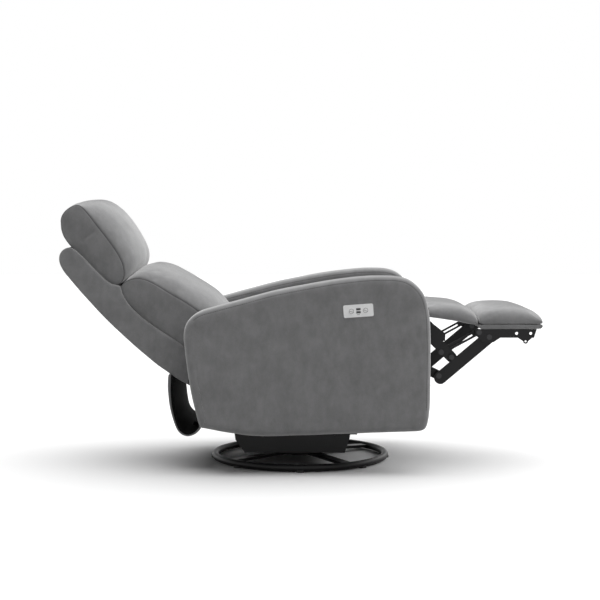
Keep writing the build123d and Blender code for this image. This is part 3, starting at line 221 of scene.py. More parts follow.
OTTOMAN_BAND_LINE = [
    (603, 474, 0, 0), (602, 480, 0, 0), (605, 486.5, 0, 0), (640, 487.4, 0, 0), (700, 487.4, 0, 0),
    (760, 487.4, 0, 0), (785, 487.6, 0, 0), (801, 489.2, 0, 0), (809, 488, 0, 0), (811, 482, 0, 0),
    (806, 475.5, 0, 0), (792, 473.6, 0, 0), (700, 473.6, 0, 0), (640, 473.6, 0, 0),
]

# Fold in the headrest's sides: its two ends, how deep it is pressed in, how far that fades out, and its
# painted shade
FOLD_START = (-725, 762)
FOLD_END = (-680, 799)
FOLD_DEPTH = 7
FOLD_REACH = 24
FOLD_PAINTED_SHADE = 0.45

# Crease cloth: section from the seat's rear down and up into the back cushion, and columns across;
# in metres, its unevenness
CREASE_LINE = [(-92, 480), (-118, 474), (-140, 457), (-172, 447), (-206, 453), (-238, 470), (-305, 488)]
CREASE_HALF_WIDTH = 252
CREASE_COLUMNS = 72
CREASE_RUFFLE = 0.003

# Signs on the control plate, in metres: height off it, ring, and cross-section of a stroke
SIGN_LIFT = 0.0001
SIGN_RING_RADIUS = 0.0074
SIGN_RING_LINE = 0.0005
STROKE_DEPTH = 0.0004
STROKE_WIDTH = 0.0013
STROKE_EDGE = 0.00015

# Strokes of a seat sign: their lengths, and their places from the button's middle or from the seat's stroke
SEAT_STROKE = 0.0052
BACK_STROKE = 0.0046
LEG_STROKE = 0.0030
SEAT_PLACE = Vector((0.0002, 0.0, -0.0016))
BACK_PLACE = Vector((-0.0024, 0.0, 0.0))
BACK_REACH = 0.0022
LEG_PLACE = Vector((0.0034, 0.0, -0.0010))
LEG_TURN = math.radians(-40)
BACK_LEANS = {"recline_button": 150, "upright_button": 105}

# Charging light: length and drop below the sockets in metres, and its turn
CHARGING_LIGHT = 0.009
CHARGING_DROP = 0.0035
CHARGING_TURN = 0.07

# Stage: the floor's size and the lamp's place in metres, and the floor's grey for light and for the viewer
FLOOR_SIZE = 30.0
LAMP_PLACE = (0.9, 0.8, 3.0)
FLOOR_LIT = (0.52, 0.52, 0.52, 1.0)
FLOOR_SEEN = (0.96, 0.96, 0.96, 1.0)
WHITE = (1.0, 1.0, 1.0, 1.0)

# Colour of the shade painted into seams and folds, and the dark and light colour of each finish that mixes
# two
PAINTED_SHADE_COLOUR = (0.02, 0.02, 0.02, 1.0)
THREAD_COLOURS = (0.035, 0.035, 0.036, 1.0), (0.075, 0.075, 0.077, 1.0)
COAT_COLOURS = (0.006, 0.006, 0.0065, 1.0), (0.014, 0.014, 0.0145, 1.0)
ZINC_COLOURS = (0.018, 0.018, 0.019, 1.0), (0.05, 0.05, 0.052, 1.0)
PLYWOOD_COLOURS = (0.36, 0.22, 0.11, 1.0), (0.56, 0.40, 0.24, 1.0)
ALUMINIUM_COLOURS = (0.45, 0.45, 0.46, 1.0), (0.62, 0.62, 0.63, 1.0)

# Plastics and rubber: (dark colour, light colour, roughness)
PLASTICS = {
    "white_plastic": ((0.92, 0.92, 0.92), (0.96, 0.96, 0.96), 0.3),
    "dark_plastic": ((0.012, 0.012, 0.013), (0.026, 0.026, 0.027), 0.5),
    "sign_ink": ((0.10, 0.10, 0.10), (0.16, 0.16, 0.16), 0.6),
    "glide_rubber": ((0.012, 0.012, 0.012), (0.024, 0.024, 0.024), 0.75),
}

# Woven cloths: (name, dark colour, light colour, thread pitch in metres)
WEAVES = {
    "black_lining": ("black_lining", (0.002, 0.002, 0.002), (0.006, 0.006, 0.006), 0.0035),
    "webbing": ("strap_weave", (0.015, 0.015, 0.015), (0.05, 0.05, 0.05), 0.004),
}

# The stays take the dark finish of the lining beside them
OTHER_FINISH = {"rear_panel_stays": "black_lining"}

# Each cover's body, and the solid that it replaces
COVERS = {
    "left_arm_cover": ("frame", "left_arm"),
    "right_arm_cover": ("frame", "right_arm"),
    "back_shell_cover": ("backrest", "back_shell"),
    "back_cushion_cover": ("backrest", "back_cushion"),
    "headrest_cover": ("backrest", "headrest_cushion"),
    "rear_panel_cloth": ("frame", "rear_panel_cover"),
    "seat_cover": ("frame", "seat_cushion"),
    "mid_pad_cover": ("mid_pad", "mid_pad_cushion"),
    "ottoman_cover": ("ottoman", "ottoman_cushion"),
    "ottoman_band_cover": ("ottoman", "ottoman_board"),
}

# Padded pieces by name and finishes by slot, filled in as they are made
PADS = {}
FINISHES = {}


class ReclinerCloth(bpy.types.PropertyGroup):
    """Colour and nap of the grey cover."""

    light: FloatVectorProperty(
        name="Light grey", description="Nap lying towards the light", subtype="COLOR",
        default=(0.275, 0.275, 0.278),
    )
    dark: FloatVectorProperty(
        name="Dark grey", description="Nap lying away from the light", subtype="COLOR",
        default=(0.172, 0.172, 0.174),
    )
    sheen: FloatProperty(
        name="Sheen", description="Soft edge light of the nap", subtype="FACTOR", default=0.85,
    )
    sheen_spread: FloatProperty(
        name="Sheen spread", description="Width of that light", subtype="FACTOR", default=0.45,
    )


class ReclinerPadding(bpy.types.PropertyGroup):
    """How the covers are filled and sewn."""

    pressure: FloatProperty(name="Pressure", description="Push of the filling", default=4.0)
    frames: IntProperty(name="Frames", description="Steps the filling takes to settle", default=20)
    stitch_pitch: FloatProperty(
        name="Stitch pitch", description="Distance from stitch to stitch", subtype="DISTANCE", default=0.0075,
    )


class ReclinerLight(bpy.types.PropertyGroup):
    """Lamp and surroundings."""

    key: FloatProperty(name="Key", description="Broad soft light from overhead", default=4.0)
    key_spread: FloatProperty(
        name="Key spread", description="Width of that light", subtype="ANGLE", default=1.85,
    )
    surround: FloatProperty(name="Surround", description="Light from all round", default=0.15)


class ReclinerCamera(bpy.types.PropertyGroup):
    """The viewer's place."""

    distance: FloatProperty(
        name="Distance", description="From the middle of the chair", subtype="DISTANCE", default=5.0,
    )
    height: FloatProperty(name="Height", description="Above the floor", subtype="DISTANCE", default=0.855)
    pitch: FloatProperty(name="Pitch", description="Look down", subtype="ANGLE", default=math.radians(3.43))
    lens: FloatProperty(name="Lens", description="Focal length", default=85.7)
    film: FloatProperty(name="Film", description="Width of the picture that the lens is for", default=36.0)


class Value:
    """A shader socket that can be used in sums."""

    def __init__(self, desk, socket):
        self.desk = desk
        self.socket = socket

    def maths(self, operation, first, second):
        return self.desk.add("ShaderNodeMath", {"operation": operation}, {0: first, 1: second})

    def __add__(self, other):
        return self.maths("ADD", self, other)

    __radd__ = __add__

    def __sub__(self, other):
        return self.maths("SUBTRACT", self, other)

    def __rsub__(self, other):
        return self.maths("SUBTRACT", other, self)

    def __mul__(self, other):
        return self.maths("MULTIPLY", self, other)

    __rmul__ = __mul__


class Desk:
    """The nodes of a material or of the world."""

    def __init__(self, tree):
        self.nodes = tree.nodes
        self.links = tree.links

    def add(self, kind, settings=None, inputs=None, output=0):
        """Adds a node with its settings and the values or links of its sockets."""
        node = self.nodes.new(kind)
        for key, value in (settings or {}).items():
            setattr(node, key, value)
        for key, value in (inputs or {}).items():
            self.feed(node.inputs[key], value)
        return Value(self, node.outputs[output])

    def feed(self, socket, value):
        if isinstance(value, Value):
            self.links.new(value.socket, socket)
        else:
            socket.default_value = value

    def seen(self):
        """1 for the rays that show a surface to the viewer, and 0 for those that light the chair."""
        path = self.nodes.new("ShaderNodeLightPath").outputs
        seen = Value(self, path["Is Camera Ray"])
        for ray in ("Is Glossy Ray", "Is Transmission Ray"):
            seen = seen.maths("MAXIMUM", seen, Value(self, path[ray]))
        return seen


class Finish(Desk):
    """A material and its shader."""

    def __init__(self, name):
        self.material = bpy.data.materials.new(name)
        self.material.use_nodes = True
        super().__init__(self.material.node_tree)
        self.surface = self.nodes["Principled BSDF"]

    def set(self, **values):
        """Feeds the shader's sockets, named as base_color for Base Color."""
        for key, value in values.items():
            self.feed(self.surface.inputs[key.replace("_", " ").title()], value)

    def gloss(self, level):
        self.surface.inputs["Specular IOR Level"].default_value = level

    def place(self):
        """The point of the piece that is being coloured."""
        return self.add("ShaderNodeTexCoord", output="Object")

    def stretched(self, scale, turn=(0, 0, 0)):
        """That point for a pattern that is drawn out or turned."""
        inputs = {"Vector": self.place(), "Scale": scale, "Rotation": turn}
        return self.add("ShaderNodeMapping", None, inputs)

    def cloud(self, scale, detail=3.0, rough=0.55, vector=None):
        inputs = {"Vector": vector or self.place(), "Scale": scale, "Detail": detail, "Roughness": rough}
        return self.add("ShaderNodeTexNoise", None, inputs, "Fac")

    def blend(self, share, first, second):
        mix = {"data_type": "RGBA", "clamp_factor": True}
        return self.add("ShaderNodeMix", mix, {0: share, 6: first, 7: second}, 2)

    def bumpy(self, height, strength, distance):
        inputs = {"Height": height, "Strength": strength, "Distance": distance}
        return self.add("ShaderNodeBump", None, inputs)


def opaque(colour):
    return (*colour, 1.0)


def suede_finish():
    """Brushed grey cover: cloudy nap, short fibres, and shade painted into its seams and folds."""
    cloth = bpy.context.scene.recliner_cloth
    finish = Finish("grey_suede")
    cloud = finish.cloud(13.0, 5.0, 0.62)
    smudge = finish.cloud(42.0, 4.0, 0.6, finish.stretched((1.0, 1.0, 0.55)))
    fibre = finish.cloud(520.0, 2.0, 0.7, finish.stretched((1.0, 1.0, 0.45)))
    grain = finish.cloud(1500.0, 1.0)
    share = 0.5 + (cloud - 0.5) * 1.2 + (smudge - 0.5) * 1.0 + (fibre - 0.5) * 0.6
    nap = finish.blend(share, opaque(cloth.dark), opaque(cloth.light))
    # Painted shade: the "seam" mark darkens the cover in its seam grooves and beside the headrest's fold
    seam = finish.add("ShaderNodeAttribute", {"attribute_name": "seam"}, None, "Fac")
    finish.set(
        base_color=finish.blend(seam * SEAM_PAINTED_SHADE, nap, PAINTED_SHADE_COLOUR),
        roughness=0.86 + (cloud - 0.5) * 0.12,
        normal=finish.bumpy(fibre * 0.7 + grain * 0.3, 0.35, 0.0007),
        sheen_weight=cloth.sheen,
        sheen_roughness=cloth.sheen_spread,
    )
    finish.gloss(0.25)
    return finish.material


def thread_finish():
    """Dark grey sewing thread with its twist."""
    finish = Finish("grey_thread")
    twist = finish.cloud(1800.0, 1.0, 0.5, finish.stretched((1.0, 1.0, 0.4), (0.4, 0.6, 0.0)))
    finish.set(
        base_color=finish.blend(twist, *THREAD_COLOURS),
        roughness=0.7 + (twist - 0.5) * 0.2,
        normal=finish.bumpy(twist, 0.4, 0.0003),
    )
    return finish.material


def steel_finish():
    """Black powder coat: fine orange peel and a little dust."""
    finish = Finish("black_powder_coat")
    peel = finish.cloud(420.0, 2.0)
    dust = finish.cloud(24.0, 5.0, 0.65)
    finish.set(
        base_color=finish.blend(dust, *COAT_COLOURS),
        roughness=0.42 + (dust - 0.5) * 0.3 + (peel - 0.5) * 0.1,
        normal=finish.bumpy(peel, 0.18, 0.0004),
    )
    finish.gloss(0.22)
    return finish.material


def zinc_finish():
    """Black zinc on rivets, bolts and rods, with turning marks."""
    finish = Finish("black_zinc")
    marks = finish.cloud(260.0, 3.0, 0.6, finish.stretched((1.0, 6.0, 1.0)))
    finish.set(
        base_color=finish.blend(marks, *ZINC_COLOURS),
        metallic=0.5,
        roughness=0.44 + (marks - 0.5) * 0.25,
        normal=finish.bumpy(marks, 0.12, 0.0002),
    )
    return finish.material


def plastic_finish(name, dark, light, rough):
    """Moulded plastic with a fine spark-eroded grain."""
    finish = Finish(name)
    grain = finish.cloud(900.0, 2.0)
    tone = finish.cloud(60.0, 3.0)
    finish.set(
        base_color=finish.blend(tone, opaque(dark), opaque(light)),
        roughness=rough + (grain - 0.5) * 0.12,
        normal=finish.bumpy(grain, 0.12, 0.0002),
    )
    return finish.material


def weave_finish(name, dark, light, pitch):
    """Plain woven cloth, with sets of threads along all three directions."""
    finish = Finish(name)
    inputs = {"Vector": finish.place(), "Scale": 1.0 / pitch, "Distortion": 0.6, "Detail": 1.0}
    across, along, upright = (
        finish.add("ShaderNodeTexWave", {"bands_direction": axis}, inputs, "Fac") for axis in "XYZ"
    )
    threads = (across + along + upright) * 0.33
    dust = finish.cloud(30.0, 4.0)
    finish.set(
        base_color=finish.blend(threads * 0.7 + dust * 0.3, opaque(dark), opaque(light)),
        roughness=0.85 + (dust - 0.5) * 0.15,
        normal=finish.bumpy(threads, 0.3, 0.0004),
    )
    finish.gloss(0.08)
    return finish.material


def plywood_finish():
    """Raw plywood with long grain."""
    finish = Finish("raw_plywood")
    grain = finish.cloud(18.0, 6.0, 0.6, finish.stretched((1.0, 9.0, 9.0)))
    finish.set(
        base_color=finish.blend(grain, *PLYWOOD_COLOURS),
        roughness=0.7 + (grain - 0.5) * 0.2,
        normal=finish.bumpy(grain, 0.2, 0.0004),
    )
    return finish.material


def aluminium_finish():
    """Extruded aluminium with long draw lines."""
    finish = Finish("drawn_aluminium")
    lines = finish.cloud(120.0, 3.0, 0.6, finish.stretched((0.05, 1.0, 1.0)))
    finish.set(
        base_color=finish.blend(lines, *ALUMINIUM_COLOURS),
        metallic=1.0,
        roughness=0.35 + (lines - 0.5) * 0.2,
        normal=finish.bumpy(lines, 0.1, 0.0002),
    )
    return finish.material


OWN_FINISHES = {
    "upholstery": suede_finish,
    "thread": thread_finish,
    "black_steel": steel_finish,
    "zinc_steel": zinc_finish,
    "plywood": plywood_finish,
    "rail_aluminium": aluminium_finish,
}


def make_finish(slot):
    """A new finish for a material slot."""
    if slot in PLASTICS:
        return plastic_finish(slot, *PLASTICS[slot])
    if slot in WEAVES:
        return weave_finish(*WEAVES[slot])
    return OWN_FINISHES[slot]()


def finish_for(slot):
    """The finish of a material slot, made once."""
    if slot not in FINISHES:
        FINISHES[slot] = make_finish(slot)
    return FINISHES[slot]


def dress(piece, body, slot, finish=None):
    """Gives a new piece its finish and its body."""
    piece.data.materials.clear()
    piece.data.materials.append(finish_for(finish or slot))
    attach(piece, body)


def spread(points, count):
    """Evenly spaced points on a closed line."""
    lengths = [0.0]
    closed = points + points[:1]
    for first, second in zip(closed, closed[1:]):
        lengths.append(lengths[-1] + (second - first).length)
    result = []
    span = 0
    for index in range(count):
        goal = lengths[-1] * index / count
        while lengths[span + 1] < goal:
            span += 1
        share = (goal - lengths[span]) / max(lengths[span + 1] - lengths[span], 1e-9)
        result.append(closed[span].lerp(closed[span + 1], share))
    return result


def smooth_span(before, start, end, after):
    """Points of a smooth line from start up to end, in metres."""
    points = []
    for part in range(LINE_STEPS):
        t = part / LINE_STEPS
        curve = 2 * start + (end - before) * t
        curve += (2 * before - 5 * start + 4 * end - after) * t ** 2
        curve += (3 * start - before - 3 * end + after) * t ** 3
        points.append(curve * 0.5 * MM)
    return points


def smooth_loop(points, count):
    """Evenly spaced points on a smooth closed line through the given ones, in metres."""
    dense = []
    total = len(points)
    for index in range(total):
        dense += smooth_span(*(Vector(points[(index + step) % total]) for step in (-1, 0, 1, 2)))
    return spread(dense, count)


def smooth_run(points):
    """Points of a smooth open line through the given ones, in metres."""
    ends = [Vector(point) for point in points[:1] + points + points[-1:]]
    dense = []
    for index in range(len(points) - 1):
        dense += smooth_span(*ends[index:index + 4])
    return dense + [ends[-1] * MM]


def back_point(u, n):
    """A point of the back, along it and out from it, as (forward, up)."""
    x = BACK_CORNER[0] - u * math.sin(BACK_LEAN) + n * math.cos(BACK_LEAN)
    z = BACK_CORNER[1] + u * math.cos(BACK_LEAN) + n * math.sin(BACK_LEAN)
    return x, z


def crowned(line, share, leaning):
    """A side line at one place across the width: share is 0 at the side seam and 1 at the middle."""
    points = [(a + da * share, b + db * share) for a, b, da, db in line]
    return [back_point(*point) for point in points] if leaning else points


def fill_side(points, faces, ring, start, across):
    """Fills a ring of points with a grid, whose first side takes across steps from the point at start."""
    total = len(ring)
    along = total // 2 - across
    turn = ring[start:] + ring[:start]
    low = turn[:across + 1]
    right = turn[across:across + along + 1]
    high = turn[across + along:2 * across + along + 1][::-1]
    left = (turn[2 * across + along:] + turn[:1])[::-1]
    grid = {}
    for column in range(across + 1):
        grid[column, 0], grid[column, along] = low[column], high[column]
    for row in range(along + 1):
        grid[0, row], grid[across, row] = left[row], right[row]
    for column in range(1, across):
        for row in range(1, along):
            p, q = column / across, row / along
            inside = points[low[column]] * (1 - q) + points[high[column]] * q
            inside = inside + points[left[row]] * (1 - p) + points[right[row]] * p
            inside = inside - points[low[0]] * (1 - p) * (1 - q) - points[low[-1]] * p * (1 - q)
            inside = inside - points[high[0]] * (1 - p) * q - points[high[-1]] * p * q
            grid[column, row] = len(points)
            points.append(inside)
    for column in range(across):
        for row in range(along):
            corners = (column, row), (column + 1, row), (column + 1, row + 1), (column, row + 1)
            faces.append(tuple(grid[corner] for corner in corners))


def new_piece(name, mesh):
    """An object for a finished mesh."""
    piece = bpy.data.objects.new(name, mesh)
    bpy.context.scene.collection.objects.link(piece)
    return piece


def skin(name, rings, start, across):
    """A closed mesh through rings of points, with its two ends filled by grids."""
    count = len(rings[0])
    points = [point for ring in rings for point in ring]
    faces = []
    for row in range(len(rings) - 1):
        near, far = row * count, (row + 1) * count
        for place in range(count):
            after = (place + 1) % count
            faces.append((near + place, near + after, far + after, far + place))
    last = (len(rings) - 1) * count
    fill_side(points, faces, list(range(count)), start, across)
    fill_side(points, faces, list(range(last, last + count)), start, across)
    mesh = bpy.data.meshes.new(name)
    mesh.from_pydata([tuple(point) for point in points], [], faces)
    shaper = bmesh.new()
    shaper.from_mesh(mesh)
    bmesh.ops.recalc_face_normals(shaper, faces=shaper.faces)
    shaper.to_mesh(mesh)
    shaper.free()
    return new_piece(name, mesh)


def note_pad(piece, seams, held, **sizes):
    """Keeps what the filling and sewing of a padded piece need.

    The sizes are the limit that the cover may move, its fill (kept, but not used), the depth of its seams and
    its wave.
    """
    PADS[piece.name] = {"piece": piece, "seams": seams, "held": held, **sizes}


def inward(line, inset):
    """A closed line drawn in square to itself."""
    total = len(line)
    area = sum(line[index - 1].cross(line[index]) for index in range(total))
    turn = math.copysign(1.0, area)
    result = []
    for index, point in enumerate(line):
        run = line[(index + 1) % total] - line[index - 1]
        square = Vector((-run[1], run[0])).normalized() * turn
        result.append(point + square * inset)
    return result


def cushion(name, line, half_width, leaning, count, start, across, limit):
    """A cushion through side sections, flat at its two sides and crowned between them."""
    places = [-1 + SEAM_ROW / half_width]
    for index in range(1, CUSHION_SECTIONS):
        t = -1 + 2 * index / CUSHION_SECTIONS
        places.append(EVEN_SHARE * t + CROWDED_SHARE * math.sin(t * math.pi / 2))
    places.append(1 - SEAM_ROW / half_width)
    shares = [(1 - abs(t) ** CROWN_FLAT) ** CROWN_ROUND for t in places]
    sides = [smooth_loop(crowned(line, share, leaning), count) for share in shares]
    edge = smooth_loop(crowned(line, 0, leaning), count)
    inner = inward(edge, SEAM_ROW * MM)
    rows = [(-1, inner), (-1, edge), *zip(places, sides), (1, edge), (1, inner)]
    rings = [[Vector((point[0], t * half_width * MM, point[1])) for point in side] for t, side in rows]
    piece = skin(name, rings, start, across)
    far = (len(rings) - 2) * count
    seams = [list(range(count, 2 * count)), list(range(far, far + count))]
    note_pad(piece, seams, [], limit=limit, fill=CUSHION_FILL, depth=SEAM_DEPTH, wave=2.8)
    return piece


def press_fold(piece):
    """Presses a small slanting fold into the two sides of the headrest, and paints shade beside it."""
    start = Vector(FOLD_START) * MM
    run = Vector(FOLD_END) * MM - start
    across = Vector((-run[1], run[0])).normalized()
    mark = painted_shade_mark(piece)
    for vertex in piece.data.vertices:
        place = Vector((vertex.co.x, vertex.co.z)) - start
        share = place.dot(run) / run.length_squared
        above = place.dot(across) / MM
        if abs(vertex.co.y) > SIDE_START * MM and 0 < share < 1 and above > 0:
            sink = (1 - (2 * share - 1) ** 4) * math.exp(-above / FOLD_REACH)
            vertex.co.y -= math.copysign(FOLD_DEPTH * MM * sink, vertex.co.y)
            # Painted shade beside the fold, fading out as the sink does
            mark.data[vertex.index].value = FOLD_PAINTED_SHADE * sink


def within(share):
    """A share kept between 0 and 1."""
    return min(max(share, 0.0), 1.0)


def tuck(piece):
    """Draws the sides of a back cushion in where they meet the shell."""
    lean = Vector((math.cos(BACK_LEAN), 0.0, math.sin(BACK_LEAN)))
    corner = Vector((BACK_CORNER[0], 0.0, BACK_CORNER[1])) * MM
    for vertex in piece.data.vertices:
        out = (vertex.co - corner).dot(lean) / MM
        share = within((TUCK_START - out) / (TUCK_START - TUCK_END))
        side = within((abs(vertex.co.y) / MM - SIDE_START) / SIDE_FADE)
        vertex.co.y -= math.copysign(TUCK * MM * share * share * (3 - 2 * share) * side, vertex.co.y)


def end_points(rings):
    """Numbers of the points of the first and the last ring of a skin."""
    count = len(rings[0])
    last = (len(rings) - 1) * count
    return list(range(count)) + list(range(last, last + count))


def pillow(name, line, half_width, count, across, limit):
    """A pad that rolls over to a seam low on its two sides."""
    rings = []
    for index in range(PILLOW_SECTIONS + 1):
        t = math.sin(math.pi * (index / PILLOW_SECTIONS - 0.5))
        share = math.sqrt(1 - abs(t) ** PILLOW_FLAT)
        side = smooth_loop(crowned(line, share, False), count)
        rings.append([Vector((point[0], t * half_width * MM, point[1])) for point in side])
    piece = skin(name, rings, count - 2, across)
    note_pad(piece, [], end_points(rings), limit=limit, fill=CUSHION_FILL, depth=0, wave=1.6)


def rolled_rings(line, near, far, roll, insets, rows):
    """Rings from one face of a padded panel over its rolled edge to the other face."""
    rolls = []
    for inset in insets:
        turn = math.asin(max(0.0, 1 - inset / roll))
        rolls.append((inset, roll * (1 - math.cos(turn))))
    near_side = [(inset, near + depth) for inset, depth in rolls]
    far_side = [(inset, far - depth) for inset, depth in reversed(rolls)]
    middle = []
    for row in range(1, rows):
        share = row / rows
        bulge = -PANEL_BULGE * math.sin(math.pi * share)
        middle.append((bulge, near + roll + (far - near - 2 * roll) * share))
    rings = []
    for inset, y in near_side + middle + far_side:
        rings.append([Vector((point[0], y * MM, point[1])) for point in inward(line, inset * MM)])
    return rings


def painted_shade_mark(piece):
    """The mark of painted shade that darkens a cover in its seams and folds, made once."""
    return piece.data.attributes.get("seam") or piece.data.attributes.new("seam", "FLOAT", "POINT")


def paint_seam_shade(piece, seams, depth):
    """Marks painted shade on the seams of a piece, so that its cover darkens there, the deep ones most."""
    mark = painted_shade_mark(piece)
    for ring in seams:
        for index in ring:
            mark.data[index].value = depth / SEAM_DEPTH


def fill_pads(pads):
    """Lets the filling push the covers out between their seams, and keeps the result."""
    padding = bpy.context.scene.recliner_padding
    scene = bpy.context.scene
    for pad in pads:
        piece = pad["piece"]
        group = piece.vertex_groups.new(name="hold")
        group.add([index for ring in pad["seams"] for index in ring] + pad["held"], 1.0, "REPLACE")
        air = piece.modifiers.new("filling", "CLOTH")
        air.settings.quality = 5
        air.settings.use_pressure = True
        air.settings.uniform_pressure_force = padding.pressure
        air.settings.vertex_group_mass = "hold"
        air.settings.effector_weights.gravity = 0.0
        air.collision_settings.use_collision = False
        air.point_cache.frame_start = 1
        air.point_cache.frame_end = padding.frames
    for moment in range(1, padding.frames + 1):
        scene.frame_set(moment)
    graph = bpy.context.evaluated_depsgraph_get()
    for pad in pads:
        piece = pad["piece"]
        shaped = [vertex.co.copy() for vertex in piece.evaluated_get(graph).data.vertices]
        piece.modifiers.clear()
        most = pad["limit"] * MM
        for vertex, goal in zip(piece.data.vertices, shaped):
            move = goal - vertex.co
            vertex.co += move * (most / (most + move.length))
    scene.frame_set(1)


def ruffle(piece, size):
    """Gentle unevenness of stuffed cloth."""
    vertices = piece.data.vertices
    for vertex, normal in zip(vertices, [vertex.normal.copy() for vertex in vertices]):
        wave = sum(noise.noise(vertex.co * waves) * share for waves, share in RUFFLE_WAVES)
        vertex.co += normal * wave * size


def sew(pad):
    """Pulls the seams in and paints shade into them, rounds the cover and finishes the piece."""
    piece = pad["piece"]
    ruffle(piece, pad["wave"] * MM)
    normals = [vertex.normal.copy() for vertex in piece.data.vertices]
    for ring in pad["seams"]:
        for index in ring:
            piece.data.vertices[index].co -= normals[index] * pad["depth"] * MM
    paint_seam_shade(piece, pad["seams"], pad["depth"])
    piece.vertex_groups.clear()
    piece.data.shade_smooth()
    bpy.ops.object.select_all(action="DESELECT")
    bpy.context.view_layer.objects.active = piece
    piece.select_set(True)
    smooth = piece.modifiers.new("round", "SUBSURF")
    smooth.levels = 1
    smooth.render_levels = 1
    bpy.ops.object.modifier_apply(modifier=smooth.name)


def shaped_piece(name, shaper):
    """An object from what a mesh builder holds."""
    mesh = bpy.data.meshes.new(name)
    shaper.to_mesh(mesh)
    shaper.free()
    mesh.shade_smooth()
    return new_piece(name, mesh)


def strip(name, line, half_width, across):
    """A sheet with the given side line, straight across the chair."""
    shaper = bmesh.new()
    rows = []
    places = [half_width * MM * (2 * step / across - 1) for step in range(across + 1)]
    for point in line:
        rows.append([shaper.verts.new((point[0], y, point[1])) for y in places])
    for row, after in zip(rows, rows[1:]):
        for step in range(across):
            shaper.faces.new((row[step], row[step + 1], after[step + 1], after[step]))
    shaper.normal_update()
    return shaped_piece(name, shaper)


def thread_ring(shaper, middle, side, up, radius):
    """Corners round a thread."""
    ring = []
    for corner in range(THREAD_SIDES):
        turn = corner * 2 * math.pi / THREAD_SIDES
        ring.append(shaper.verts.new(middle + (side * math.cos(turn) + up * math.sin(turn)) * radius))
    return ring


def thread_line(name, points, normals, body):
    """A sewn thread that lies along a closed row of points of a cover."""
    shaper = bmesh.new()
    rings = []
    total = len(points)
    for index, point in enumerate(points):
        along = (points[(index + 1) % total] - points[index - 1]).normalized()
        side = along.cross(normals[index]).normalized()
        rings.append(thread_ring(shaper, point, side, side.cross(along), THREAD_RADIUS))
    for index, ring in enumerate(rings):
        before = rings[index - 1]
        for corner in range(THREAD_SIDES):
            shaper.faces.new((before[corner - 1], before[corner], ring[corner], ring[corner - 1]))
    bmesh.ops.recalc_face_normals(shaper, faces=shaper.faces)
    dress(shaped_piece(name, shaper), body, "upholstery", "thread")


def stitch_row(name, points, normals, body):
    """A row of short stitches along points of a cover."""
    pitch = bpy.context.scene.recliner_padding.stitch_pitch
    shaper = bmesh.new()
    travelled = 0.0
    goal = 0.0
    for first, second, up in zip(points, points[1:], normals):
        run = second - first
        while goal < travelled + run.length:
            middle = first + run * ((goal - travelled) / run.length)
            add_stitch(shaper, middle, run.normalized(), up, pitch * STITCH_SHARE)
            goal += pitch
        travelled += run.length
    dress(shaped_piece(name, shaper), body, "upholstery", "thread")


def add_stitch(shaper, middle, along, up, length):
    """One stitch: a short thread that dips into the cover at both ends."""
    side = along.cross(up).normalized()
    rings = []
    for place, size, lift in STITCH_PROFILE:
        centre = middle + along * length * place + up * lift * THREAD_RADIUS
        rings.append(thread_ring(shaper, centre, side, up, THREAD_RADIUS * size))
    for ring, after in zip(rings, rings[1:]):
        for corner in range(THREAD_SIDES):
            shaper.faces.new((ring[corner], ring[corner - 1], after[corner - 1], after[corner]))
    shaper.faces.new(rings[0])
    shaper.faces.new(rings[-1][::-1])


class RECLINER_OT_arms(bpy.types.Operator):
    """Padded arms with a flat side panel, a rolled edge and a sewn seam round it"""

    bl_idname = "recliner.arms"
    bl_label = "Arms"

    def execute(self, context):
        line = smooth_loop(ARM_LINE, ARM_POINTS)
        for name, side in (("left_arm_cover", 1), ("right_arm_cover", -1)):
            rings = rolled_rings(line, ARM_INNER, ARM_OUTER - ARM_SETBACK, ARM_ROLL, ARM_INSETS, rows=6)
            for ring in rings:
                for point in ring:
                    point.y *= side
            piece = skin(name, rings, start=0, across=50)
            near = ARM_INSETS.index(ARM_SEAM_INSET)
            far = len(rings) - 1 - near
            seams = []
            for row in (near, far):
                first = row * ARM_POINTS
                seams.append(list(range(first + ARM_SEAM_FIRST, first + ARM_SEAM_LAST)))
            note_pad(piece, seams, [], limit=2.0, fill=BOARDED_FILL, depth=ARM_SEAM_DEPTH, wave=1.3)
        return {"FINISHED"}


class RECLINER_OT_back(bpy.types.Operator):
    """Rear shell, back cushion and headrest bolster"""

    bl_idname = "recliner.back"
    bl_label = "Back"

    def execute(self, context):
        line = smooth_loop([back_point(*point) for point in SHELL_LINE], SHELL_POINTS)
        rings = rolled_rings(line, -BACK_HALF_WIDTH, BACK_HALF_WIDTH, SHELL_ROLL, SHELL_INSETS, rows=44)
        shell = skin("back_shell_cover", rings, start=190, across=14)
        note_pad(shell, [], end_points(rings), limit=1.0, fill=BOARDED_FILL, depth=0, wave=2.0)
        tuck(cushion(
            "back_cushion_cover", CUSHION_LINE, CUSHION_HALF_WIDTH, leaning=True,
            count=140, start=134, across=14, limit=8.0,
        ))
        tuck(cushion(
            "headrest_cover", HEADREST_LINE, HEADREST_HALF_WIDTH, leaning=True,
            count=116, start=110, across=12, limit=8.0,
        ))
        return {"FINISHED"}


